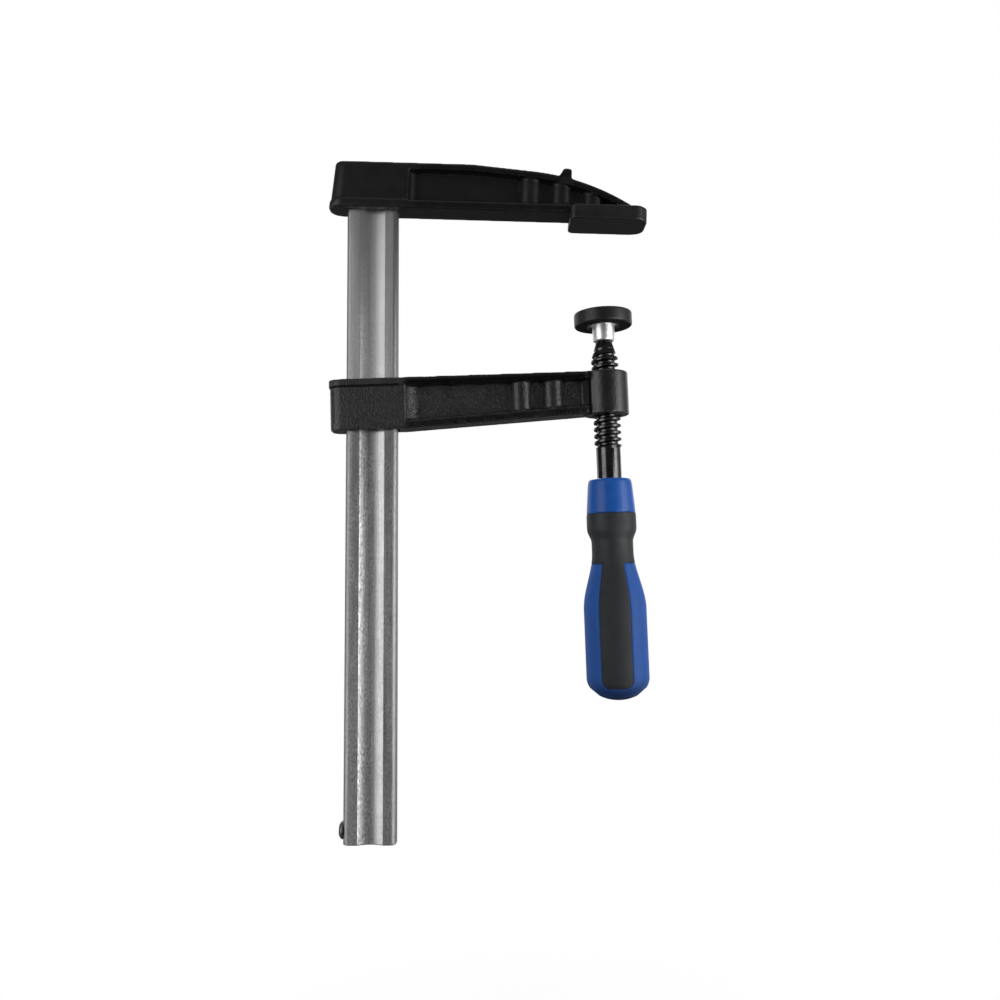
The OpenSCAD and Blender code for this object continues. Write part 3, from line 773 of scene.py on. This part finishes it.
# How far the painted shade lines on the sliding jaw lower the rim.
SHADE_LINE_DEPTH = 0.8


def keep(mesh, name, values):
    """Keeps a number on each point, for the finish to read."""
    mesh.attributes.new(name, "FLOAT", "POINT").data.foreach_set("value", values.astype(np.float32))


def mark_rims(mesh, voxel, blur):
    """How sharply the net bends at each point: 0.5 is flat, 1 an edge, 0 an inner corner."""
    mean = neighbours(mesh)
    place = read_points(mesh)
    bend = -((middles(mean, place) - place) * read_points(mesh, "normal")).sum(axis=1)
    for _ in range(blur):
        bend = 0.5 * bend + 0.5 * mean(bend)
    rim = np.clip(0.5 + bend / (voxel * MM * FULL_BEND), 0.0, 1.0)
    print(mesh.name, "rims from", round(float(rim.min()), 2), "to", round(float(rim.max()), 2))
    return rim


def in_jaw(mesh, jaw_frame):
    """The places of all points in a jaw's own frame, in millimetres, and the way back."""
    turn = np.array(jaw_frame.inverted().to_3x3())
    shift = np.array(jaw_frame.translation) / MM
    return (read_points(mesh) / MM - shift) @ turn.T, np.linalg.inv(turn).T, shift


print("rims can be marked")

# %% Draft and sand
SIDE_FROM = 7.6
SIDE_TO = 10.6
FLANGE_H = 4.6
GROUND_SMOOTH = 0.75


def inside(values):
    """Values held between 0 and 1."""
    return np.clip(values, 0.0, 1.0)


def give_draft(mesh, jaw_frame, x_start, x_end, lean, smooth):
    """Leans the flanges back towards their outer edges, as a pattern needs, and marks smooth parts and the
    painted shade of the flange faces.
    """
    local, back_turn, shift = in_jaw(mesh, jaw_frame)
    x, y, z = local.T
    side = (np.abs(y) > SIDE_FROM) & (np.abs(y) < SIDE_TO) & (x < x_end)
    cells = np.floor(x).astype(int)
    cells -= cells.min()
    top = np.full(cells.max() + 1, -1e9)
    low = np.full(cells.max() + 1, 1e9)
    np.maximum.at(top, cells[side], z[side])
    np.minimum.at(low, cells[side], z[side])
    deep = top[cells] - z
    above = inside(1 - deep / FLANGE_H)
    below = inside(1 - (z - low[cells]) / FLANGE_H)
    near_side = inside((np.abs(y) - SIDE_FROM) / 0.8)
    back = lean * (above ** 1.5 + below ** 1.5)
    on_arm = inside((x - x_start) / 5.0) * inside((x_end - x) / 2.0)
    # The flange mark carries both smoothness and painted shade. The shade is strongest low on the upper
    # flange, next to the web, and at most half as strong on the lower flange.
    upper_flange_shade = np.clip(deep / 3.0, 0.3, 1.0) * inside((FLANGE_H + 0.8 - deep) / 0.8)
    flange_shade_share = np.maximum(upper_flange_shade, np.clip(1.5 * below, 0.0, 0.5))
    ground_and_shade = np.where(side, on_arm * flange_shade_share * near_side, 0.0)
    sand = 1 - GROUND_SMOOTH * ground_and_shade
    for middle, reach, share in smooth:
        sand *= 1 - share * inside((reach - np.abs(x - middle)) / 2.0)
    local[:, 1] -= np.where(side, np.sign(y) * back * near_side, 0.0)
    write_points(mesh, (local @ back_turn + shift) * MM)
    keep(mesh, "ground_and_shade", ground_and_shade)
    keep(mesh, "sand", sand)
    return sand


def roughen(mesh, size, depth, amount):
    """Pushes the points in and out a little, as sand does."""
    place = read_points(mesh)
    lumps = np.array([noise.fractal(Vector(point) / (size * MM), 1.0, 2.0, 3) for point in place])
    write_points(mesh, place + read_points(mesh, "normal") * (lumps * amount * depth * MM)[:, None])


print("flanges", FLANGE_H, "mm high get draft")

# %% [markdown]
# ## Fixed jaw
# The fixed jaw is cast smooth, dipped in black lacquer and pressed on the rail's top. Modelling its
# fillets one by one would take hundreds of bevels, so the relaxed net of its solid is used. The flanges
# lean back a little, because a pattern has to leave the sand.

# %% Fixed jaw
JAW_VOXEL = 0.5
JAW_SLOPE = math.radians(2.0)
fixed_frame = Matrix.Rotation(JAW_SLOPE, 4, "Y")
fixed_net = even_net("fixed_jaw", JAW_VOXEL)
relax(fixed_net, 2)
keep(fixed_net, "rim", mark_rims(fixed_net, JAW_VOXEL, 1))
give_draft(fixed_net, fixed_frame, x_start=-112.0, x_end=40.0, lean=0.5, smooth=[])
relax(fixed_net, 4)
shade_smooth(fixed_net)
put("fixed_jaw_casting", fixed_net, lacquer, "frame", "fixed_jaw")

# %% [markdown]
# ## Sliding jaw
# The sliding jaw is left as it comes out of the sand, under thin black. Its net is made in the same way
# and then pushed in and out by noise, less on the boss and the ribs, where the pattern was smoother. Two
# lines get painted shade: a shadow line under the lip at the rail's end, and the inner corner between the
# arm and the boss.

# %% Sliding jaw
SLIDE_VOXEL = 0.52
SLIDE_DROP = -108.0
COCK = math.radians(-1.6)
SPINDLE_X = 137.4
LIP_Z = 11.0
LIP_END = 17.0
HEAD_END = -15.0
BOSS_JOINT = SPINDLE_X - 10.3
BOSS_SIDE = 6.0
smooth_parts = [(SPINDLE_X, 16.0, 0.65), (SPINDLE_X - 31.4, 7.0, 0.35), (SPINDLE_X - 50.0, 7.0, 0.35)]

slide_frame = Matrix.Translation((RAIL_X * MM, 0.0, SLIDE_DROP * MM)) @ Matrix.Rotation(COCK, 4, "Y")
slide_net = even_net("sliding_jaw", SLIDE_VOXEL)
relax(slide_net, 2)
rim = mark_rims(slide_net, SLIDE_VOXEL, 3)
x, y, z = in_jaw(slide_net, slide_frame)[0].T
# Painted shade: a shadow line under the lip and a line at the inner corner between arm and boss lower the
# rim, so the finish darkens them.
on_face = ((np.abs(y) > SIDE_FROM) | (x < HEAD_END)) & (x < LIP_END)
lip_shadow_line = inside(1.5 - np.abs(z - LIP_Z) / 0.55) * on_face
boss_shade_line = inside(1.5 - np.abs(x - BOSS_JOINT) / 0.8) * (np.abs(y) > BOSS_SIDE)
keep(slide_net, "rim", rim * (1 - SHADE_LINE_DEPTH * np.maximum(lip_shadow_line, boss_shade_line)))
sand = give_draft(slide_net, slide_frame, x_start=18.0, x_end=SPINDLE_X - 12.0, lean=0.8,
                  smooth=smooth_parts)
relax(slide_net, 2)
roughen(slide_net, size=1.6, depth=0.09, amount=sand)
shade_smooth(slide_net)
put("sliding_jaw_casting", slide_net, sand_cast, "jaw", "sliding_jaw")

# %% [markdown]
# ## Shoe of the fixed jaw
# The shoe is a moulded cap that is pushed over the jaw's toe. Mouldings have edges of about half a
# millimetre, so its net is finer than the castings' nets.

# %% Shoe
SHOE_VOXEL = 0.4
shoe_net = even_net("fixed_jaw_cap", SHOE_VOXEL)
relax(shoe_net, 4)
shade_smooth(shoe_net)
put("jaw_shoe", shoe_net, black_plastic, "frame", "fixed_jaw_cap")

# %% [markdown]
# ## Turned pieces
# The spindle, its plate and the plate's cap are turned about one line, which leans with the sliding jaw.
# A turned piece is an outline of radius and height, swept round that line. The outline's corners are
# rounded first, because a turned or pressed edge always catches a thin line of light.

# %% Turned pieces
PLATE_UP = 51.2
BALL_DROP = 11.9
CORNER_STEPS = 5
spindle_frame = slide_frame @ Matrix.Translation((SPINDLE_X * MM, 0.0, PLATE_UP * MM))


def soften(corners, steps=CORNER_STEPS):
    """An outline from corners of radius, height and rounding."""
    outline = []
    for index, (radius, height, rounding) in enumerate(corners):
        here = Vector((radius, height))
        if rounding == 0:
            outline.append(here)
            continue
        before = Vector(corners[index - 1][:2]) - here
        after = Vector(corners[index + 1][:2]) - here
        first = here + before.normalized() * min(rounding, before.length * 0.49)
        last = here + after.normalized() * min(rounding, after.length * 0.49)
        for step in range(steps + 1):
            t = step / steps
            outline.append(first * (1 - t) ** 2 + here * (2 * t * (1 - t)) + last * t ** 2)
    return outline


def ball_outline(radius, steps, degrees):
    """An outline that starts on the line at the top of a ball and goes down it."""
    angles = [math.radians(90 - step * degrees) for step in range(steps)]
    return [Vector((radius * math.cos(a), radius * math.sin(a) - BALL_DROP)) for a in angles]


def turned(name, outline, segments=96):
    """A closed mesh swept round the height axis; the outline starts and ends on it."""
    points = []
    for radius, height in outline:
        for step in range(segments):
            angle = 2 * math.pi * step / segments
            points.append((radius * math.cos(angle), radius * math.sin(angle), height))
    return mesh_from(name, points, ring_faces(len(outline), segments), 40.0)


print("spindle line leans", round(math.degrees(COCK), 2), "degrees")

# %% [markdown]
# ## Plate and its cap
# The plate is pressed and plated, with a collar that is rolled in round the spindle's ball. The cap is
# pushed over it and hides all but the collar. Both are turned shapes; the faces under the cap get a
# rougher copy of its plastic that is painted darker, as painted shade.

# %% Plate
PLATE_R = 14.95
PLATE_UNDER = 6.7
STEP_R = 7.2
COLLAR_R = 6.63
COLLAR_END = 16.965
SOCKET_R = 4.36
MOUTH_R = 3.761
CAP_FLOOR = 3.2

plate_corners = [(0.0, -CAP_FLOOR, 0), (PLATE_R, -CAP_FLOOR, 0.4), (PLATE_R, -PLATE_UNDER, 0.4),
                 (STEP_R, -PLATE_UNDER, 0.2), (STEP_R - 0.05, -PLATE_UNDER - 0.8, 0.3),
                 (COLLAR_R, -PLATE_UNDER - 0.9, 0.2), (COLLAR_R - 0.35, -COLLAR_END + 0.7, 0.5),
                 (COLLAR_R - 1.0, -COLLAR_END, 0.5), (MOUTH_R, -COLLAR_END, 0.2),
                 (MOUTH_R, -COLLAR_END + 1.2, 0.0)]
socket = ball_outline(SOCKET_R, 13, 9.5)
plate_mesh = turned("pressure_plate", soften(plate_corners) + socket[::-1])
plate_mesh.transform(spindle_frame)
put("pressure_plate_turned", plate_mesh, plating, "pad", "pressure_plate")

# %% Cap of the plate
CAP_R = 17.0
CAP_H = 8.0
CAP_MOUTH = 9.35
CAP_INSIDE = PLATE_R + 0.05
CAP_LEDGE = PLATE_UNDER + 0.05
FACES_DOWN = 0.95

cap_corners = [(0.0, 0.0, 0), (CAP_R - 0.5, 0.0, 0.4), (CAP_R, -0.7, 0.5), (CAP_R, -CAP_H + 0.7, 0.5),
               (CAP_R - 0.6, -CAP_H, 0.4), (CAP_MOUTH, -CAP_H, 0.4), (CAP_MOUTH, -CAP_LEDGE, 0.2),
               (CAP_INSIDE, -CAP_LEDGE, 0), (CAP_INSIDE, -CAP_FLOOR, 0), (0.0, -CAP_FLOOR, 0)]
cap_mesh = turned("plate_cap", soften(cap_corners))
cap_mesh.transform(spindle_frame)
put("plate_cap_moulded", cap_mesh, black_plastic, "pad", "plate_cap")
# The faces that look down get the darker copy, as painted shade.
cap_mesh.materials.append(shaded_underside_plastic)
down = spindle_frame.to_3x3() @ Vector((0.0, 0.0, -1.0))
under = [face for face in cap_mesh.polygons if face.normal.dot(down) > FACES_DOWN]
for face in under:
    face.material_index = 1
print("dull faces under the cap:", len(under))

# %% [markdown]
# ## Spindle thread
# The thread is rolled between dies: broad rounded crests, a 4 mm pitch, and a soft run-out at both ends.
# It follows one rule, so Geometry Nodes make it. A flat grid is bent into the helix: one side of the
# grid counts turns, the other goes once across the thread's profile, and each point gets its angle, its
# height and its radius from those two numbers. Neighbouring turns meet exactly, so merging the doubles
# closes the surface. The cone near the plate cuts the crests off, which makes the thread fade in.

# %% Thread tree
SHANK_R = 7.15
CREST_PART = 0.26
ROOT_PART = 0.76
thread_sizes = {"Crest radius": 8.0 * MM, "Root radius": 5.95 * MM, "Tip radius": 4.8 * MM,
                "Shank radius": SHANK_R * MM, "Pitch": 4.0 * MM, "Tip height": -17.765 * MM,
                "Cone length": 10.3 * MM, "Foot height": -81.065 * MM, "Run-out": 2.5 * MM,
                "Turns": 19, "Steps round": 60, "Steps across": 14}

tree, size = new_tree("rolled_thread", "GeometryNodeTree", thread_sizes, "Geometry", "NodeSocketGeometry")
grid = out(tree, "GeometryNodeMeshGrid", None,
           {"Size X": 1.0, "Size Y": 1.0, "Vertices X": size["Turns"] * size["Steps round"] + 1.0,
            "Vertices Y": size["Steps across"] + 1.0}, "Mesh")
grid_x, grid_y, _ = split(out(tree, "GeometryNodeInputPosition"))
turns = (grid_x + 0.5) * size["Turns"]
across = grid_y + 0.5
climbed = size["Foot height"] - size["Pitch"] + (turns + across) * size["Pitch"]
height = climbed.most(size["Foot height"]).least(size["Tip height"])
from_crest = abs(across * 2.0 - 1.0)
profile = from_crest.ramp(CREST_PART, ROOT_PART, size["Crest radius"], size["Root radius"], smooth=True)
below_tip = (size["Tip height"] - height) / size["Cone length"]
cone = below_tip.ramp(0.0, 1.0, size["Tip radius"], size["Crest radius"])
fade = ((height - size["Foot height"]) / size["Run-out"]).ramp(0.0, 1.0, smooth=True)
radius = out(tree, "ShaderNodeMix", {"data_type": "FLOAT"},
             {0: fade, 2: size["Shank radius"], 3: profile.least(cone)})
angle = turns * (2 * math.pi)
wound = out(tree, "ShaderNodeCombineXYZ", None,
            {0: radius * angle.math("COSINE", angle), 1: radius * angle.math("SINE", angle), 2: height})
bent = out(tree, "GeometryNodeSetPosition", None, {"Geometry": grid, "Position": wound})
closed = out(tree, "GeometryNodeMergeByDistance", None, {"Geometry": bent, "Distance": 2e-6})
real = out(tree, "GeometryNodeRealizeInstances", None, {0: closed})
give_out(out(tree, "GeometryNodeSetMaterial", None, {"Geometry": real, "Material": black_steel}))
thread_tree = tree
print("thread tree has", len(tree.nodes), "nodes")

# %% [markdown]
# ## Spindle
# The real spindle is one bar: ball, neck, thread, shank, and a tang inside the handle. The mesh is put
# together from the thread and two turned ends, which reach a little way into it, so no gap shows.

# %% Growing a tree into a mesh
def grown(tree, name, sizes):
    """Runs a geometry tree on an empty mesh and returns the plain mesh it makes."""
    holder = bpy.data.objects.new(name, bpy.data.meshes.new(name + "_seed"))
    scene.collection.objects.link(holder)
    grow = holder.modifiers.new("grow", "NODES")
    grow.node_group = tree
    for item in tree.interface.items_tree:
        if item.in_out == "INPUT" and item.name in sizes:
            grow[item.identifier] = sizes[item.name]
    evaluated = holder.evaluated_get(bpy.context.evaluated_depsgraph_get())
    mesh = bpy.data.meshes.new_from_object(evaluated)
    mesh.name = name
    bpy.data.objects.remove(holder)
    return mesh


thread_mesh = grown(thread_tree, "thread", thread_sizes)
print("thread has", len(thread_mesh.vertices), "points")

# %% Spindle
BALL_R = 4.3
NECK_R = 3.2
TIP_R = 4.7
TIP_END = -19.0
FOOT_TOP = -80.8
SHANK_END = -98.5
TANG_R = 5.0
TANG_END = -170.0

tip = soften([(NECK_R, -15.5, 0), (NECK_R, -17.4, 0.5), (TIP_R, -17.75, 0.3), (TIP_R, TIP_END, 0),
              (0.0, TIP_END, 0)])
foot = soften([(0.0, FOOT_TOP, 0), (SHANK_R - 0.02, FOOT_TOP, 0), (SHANK_R, FOOT_TOP - 0.4, 0),
               (SHANK_R, SHANK_END, 0.3), (TANG_R, SHANK_END - 0.06, 0), (TANG_R, TANG_END, 0.8),
               (0.0, TANG_END - 0.5, 0)])
work = bmesh.new()
ball = ball_outline(BALL_R, 15, 9.2)
for part in (thread_mesh, turned("ball", ball + tip, 60), turned("shank", foot, 60)):
    work.from_mesh(part)
bmesh.ops.holes_fill(work, edges=[edge for edge in work.edges if edge.is_boundary])
bmesh.ops.recalc_face_normals(work, faces=work.faces)
spindle_mesh = bpy.data.meshes.new("spindle")
work.to_mesh(spindle_mesh)
work.free()
shade_smooth(spindle_mesh, 50.0)
spindle_mesh.transform(spindle_frame)
put("spindle_rolled", spindle_mesh, black_steel, "screw", "spindle")

# %% [markdown]
# ## Handle
# The handle is moulded twice: hard blue first, then the soft grey into the hollows that the first mould
# left, a sleeve round the waist and three strips down the belly. Both are made from one net of lines
# round the handle and rows down it. The lines bend along the strips' borders, so the border between the
# plastics is a clean edge, and extra lines beside it carry the small bevel that shines on the blue.

# %% Handle shape
HANDLE_AT = 98.565
HANDLE_L = 127.0
TOP_R = 12.6
TOP_ROUND = 2.0
RING_R = 14.35
WAIST_R = 12.0
BELLY_R = 18.0
SHOULDER_AT = 22.0
SHOULDER_END = 29.0
WAIST_AT = 36.5
WAIST_END = 42.5
BELLY_AT = 75.0
DOME_L = 12.6
DOME_AT = HANDLE_L - DOME_L


def ease(first, last, t):
    """A smooth change between two values."""
    return first + (last - first) * (3 - 2 * t) * t * t


def handle_radius(s):
    """Radius of the handle at a distance below its top."""
    if s < SHOULDER_AT:
        return TOP_R + (RING_R - TOP_R) * s / SHOULDER_AT
    if s < SHOULDER_END:
        return RING_R
    if s < WAIST_AT:
        return ease(RING_R, WAIST_R, (s - SHOULDER_END) / (WAIST_AT - SHOULDER_END))
    if s < WAIST_END:
        return WAIST_R
    if s < BELLY_AT:
        return ease(WAIST_R, BELLY_R, (s - WAIST_END) / (BELLY_AT - WAIST_END))
    if s < DOME_AT:
        return BELLY_R
    return BELLY_R * math.sqrt(max(0.0, 1 - ((s - DOME_AT) / DOME_L) ** 2))


print("belly", 2 * BELLY_R, "mm, waist", 2 * WAIST_R, "mm")

# %% Borders of the strips
GRIP_AT = 20.0
SLEEVE_END = 49.0
STRIP_END = 119.0
STRIP_ROUND = 5.0
CORNER_AT = STRIP_END - STRIP_ROUND
STRIP_HALF = math.radians(29.5)
STRIP_APART = math.radians(120.0)
FIRST_STRIP = math.radians(-97.5)
STRIP_MIDDLES = [FIRST_STRIP + STRIP_APART * k for k in range(3)]


def border_angle(s):
    """Angle from a strip's middle to its border; the strip's lower corners are round."""
    if s <= CORNER_AT:
        return STRIP_HALF
    s = min(s, STRIP_END)
    straight = handle_radius(CORNER_AT) * math.sin(STRIP_HALF) - STRIP_ROUND
    width = straight + math.sqrt(max(0.0, STRIP_ROUND ** 2 - (s - CORNER_AT) ** 2))
    return math.asin(min(1.0, width / handle_radius(s)))


print("strips are", round(2 * BELLY_R * math.sin(STRIP_HALF), 1), "mm wide on the belly")

# %% Lines of the handle
NEAR = (0.03, 0.15, 0.4, 0.9)
BESIDE = NEAR[-1]
STRIP_LINES = 14
PANEL_LINES = 14


def near_both(s):
    """Places close to a border, on both sides of it."""
    return sorted(s + side * dist for side in (-1, 1) for dist in NEAR)


net_lines = []
for k in range(3):
    net_lines += [("left", k, -dist) for dist in NEAR]
    net_lines += [("strip", k, 2.0 * step / STRIP_LINES - 1.0) for step in range(1, STRIP_LINES)]
    net_lines += [("right", k, dist) for dist in near_both(0.0)]
    net_lines += [("panel", k, step / PANEL_LINES) for step in range(1, PANEL_LINES)]
    net_lines += [("left", (k + 1) % 3, dist) for dist in reversed(NEAR)]
count = len(net_lines)


def line_angle(line, s):
    """Where a line runs at a distance below the handle's top."""
    kind, k, value = line
    radius = max(handle_radius(s), 1.0)
    border = border_angle(s)
    last = BESIDE / radius
    if kind == "strip":
        return STRIP_MIDDLES[k] + value * (border - last)
    if kind == "right":
        return STRIP_MIDDLES[k] + border + value / radius
    if kind == "left":
        return STRIP_MIDDLES[k] - border - value / radius
    gap = STRIP_APART - 2 * border - 2 * last
    return STRIP_MIDDLES[k] + border + last + value * gap


def in_strip(line):
    """Whether a line lies in a soft strip."""
    return line[0] == "strip" or (line[0] != "panel" and line[2] < 0)


print(count, "lines round the handle")

# %% Rows of the handle
ROW_STEP = 1.6


def rows_between(first, last):
    """Evenly spread rows, without the two ends."""
    number = max(1, math.ceil((last - first) / ROW_STEP))
    return [first + (last - first) * i / number for i in range(1, number)]


row_marks = rows_between(TOP_ROUND, GRIP_AT - BESIDE) + near_both(GRIP_AT)
row_marks += rows_between(GRIP_AT + BESIDE, SLEEVE_END - BESIDE) + near_both(SLEEVE_END)
row_marks += rows_between(SLEEVE_END + BESIDE, CORNER_AT)
row_marks += [CORNER_AT + STRIP_ROUND * math.sin(math.radians(a)) for a in range(0, 56, 6)]
row_marks += near_both(STRIP_END)
dome_rows = [DOME_AT + DOME_L * math.sin(math.radians(a)) for a in (52, 58, 64, 70, 76, 82, 86)]
row_marks += [s for s in dome_rows if s > STRIP_END + 1.0]
print(len(row_marks), "rows down the handle")

# %% Blue core
GRIP_DEPTH = 1.8
BEVEL = 0.5
TOP_STEPS = 6


def bevel_drop(distance):
    """How far a bevelled edge drops below the surface at a distance from it."""
    return BEVEL * max(0.0, 1 - distance / BESIDE) ** 2.2


def core_drop(line, s):
    """How far the blue plastic lies below the handle's full shape."""
    if GRIP_AT < s < SLEEVE_END or (in_strip(line) and SLEEVE_END <= s < STRIP_END):
        return GRIP_DEPTH
    if s <= GRIP_AT:
        return bevel_drop(GRIP_AT - s)
    if in_strip(line):
        return bevel_drop(s - STRIP_END)
    drop = bevel_drop(s - SLEEVE_END)
    if line[0] != "panel" and s < STRIP_END:
        drop = max(drop, bevel_drop(line[2]))
    return drop


def ring_points(s, lines_at, radius_of):
    """One row of points round the handle, with the lines where they are at lines_at."""
    ring = []
    for line in net_lines:
        angle = line_angle(line, lines_at)
        radius = radius_of(line)
        ring.append((radius * math.cos(angle), radius * math.sin(angle), -HANDLE_AT - s))
    return ring


def handle_rows(rows, drop_of):
    """The points of several rows, each the handle's full shape less a drop."""
    points = []
    for s in rows:
        points += ring_points(s, s, lambda line: handle_radius(s) - drop_of(line, s))
    return points


points = [(0.0, 0.0, -HANDLE_AT)]
for step in range(TOP_STEPS + 1):
    angle = math.radians(90.0 * step / TOP_STEPS)
    top_radius = TOP_R - TOP_ROUND + TOP_ROUND * math.sin(angle)
    points += ring_points(TOP_ROUND - TOP_ROUND * math.cos(angle), 0.0, lambda line: top_radius)
points += handle_rows(row_marks, core_drop)
faces = ring_faces(len(points) // count, count, 1)
faces += [(0, 1 + i, 1 + (i + 1) % count) for i in range(count)]
base = len(points) - count
faces += [(base + i, base + (i + 1) % count, len(points)) for i in range(count)]
points.append((0.0, 0.0, -HANDLE_AT - HANDLE_L))
core_mesh = mesh_from("handle_core", points, faces, 32.0)
core_mesh.transform(spindle_frame)
put("handle_blue_core", core_mesh, blue_plastic, "screw", "handle_core")

# %% [markdown]
# ## Soft grip
# The soft plastic fills the hollows of the core, so it is made from the same lines and rows: an outer
# skin, an inner skin, and walls where a cell has no neighbour. The strips lie a little lower than the blue
# and the sleeve lies flush with it, with a very small rounding at each border.

# %% Skin of the soft grip
STRIP_SUNK = 0.3
SINK_FROM = SLEEVE_END - 4.0
SINK_L = 6.0
SOFT_EDGE = 0.12
SOFT_REACH = 0.5
GRIP_GAP = 0.05


def soft_drop(line, s):
    """How far the soft plastic lies below the handle's full shape."""
    near = [s - GRIP_AT]
    if not in_strip(line):
        drop = 0.0
        near.append(SLEEVE_END - s)
    else:
        drop = STRIP_SUNK * ease(0.0, 1.0, min(1.0, max(0.0, (s - SINK_FROM) / SINK_L)))
        near.append(STRIP_END - s)
        if line[0] != "strip" and s > SLEEVE_END - 1.0:
            near.append(-line[2])
    return drop + SOFT_EDGE * max(0.0, 1 - min(near) / SOFT_REACH) ** 2


grip_rows = [s for s in row_marks if GRIP_AT < s < STRIP_END]
points = handle_rows(grip_rows, soft_drop)
inner_start = len(points)
points += handle_rows(grip_rows, lambda line, s: GRIP_DEPTH - GRIP_GAP)
cells = set()
for row in range(len(grip_rows) - 1):
    sleeve = grip_rows[row + 1] < SLEEVE_END
    for i in range(count):
        if sleeve or (in_strip(net_lines[i]) and in_strip(net_lines[(i + 1) % count])):
            cells.add((row, i))
print("soft grip has", len(cells), "cells")

# %% Soft grip
faces = []
for row, i in sorted(cells):
    j = (i + 1) % count
    quad = (row * count + i, row * count + j, (row + 1) * count + j, (row + 1) * count + i)
    faces.append(quad)
    faces.append(tuple(inner_start + v for v in reversed(quad)))
    sides = [((row - 1, i), quad[0], quad[1]), ((row + 1, i), quad[2], quad[3]),
             ((row, (i - 1) % count), quad[3], quad[0]), ((row, j), quad[1], quad[2])]
    for beside, first, last in sides:
        if beside not in cells:
            faces.append((first, inner_start + first, inner_start + last, last))
grip_mesh = mesh_from("handle_grip", points, faces, 40.0)
grip_mesh.transform(spindle_frame)
put("handle_soft_grip", grip_mesh, soft_plastic, "screw", "handle_grip")

# %% [markdown]
# ## Rivet and ring
# The rivet in the rail's outer edge stops the sliding jaw from falling off. Its head is a low button
# with a rounded rim. The wire ring under the ball is never seen whole, so its solid stays as it is and
# only gets its finish.

# %% Rivet and ring
RIVET_Z = -350.632
RIVET_R = 5.0
RIVET_H = 2.6
RIVET_SHANK = 2.4
RIVET_IN = -3.0
HEAD_UNDER = 0.02

rivet_outline = soften([(0.0, RIVET_H, 0), (RIVET_R * 0.72, RIVET_H - 0.15, 0.8),
                        (RIVET_R, RIVET_H * 0.45, 1.2), (RIVET_R, HEAD_UNDER, 0),
                        (RIVET_SHANK, HEAD_UNDER, 0), (RIVET_SHANK, RIVET_IN, 0), (0.0, RIVET_IN, 0)], 6)
rivet_mesh = turned("rivet", rivet_outline, 64)
rivet_at = Matrix.Translation(((RAIL_X - RAIL_W / 2) * MM, 0.0, RIVET_Z * MM))
rivet_mesh.transform(rivet_at @ Matrix.Rotation(-math.pi / 2, 4, "Y"))
put("stop_rivet_button", rivet_mesh, dull_steel, "frame", "stop_rivet")
ring = frame["nodes"]["retaining_ring"]
ring.material_slots[0].material = wire
print("ring has", ring.material_slots[0].material.name)
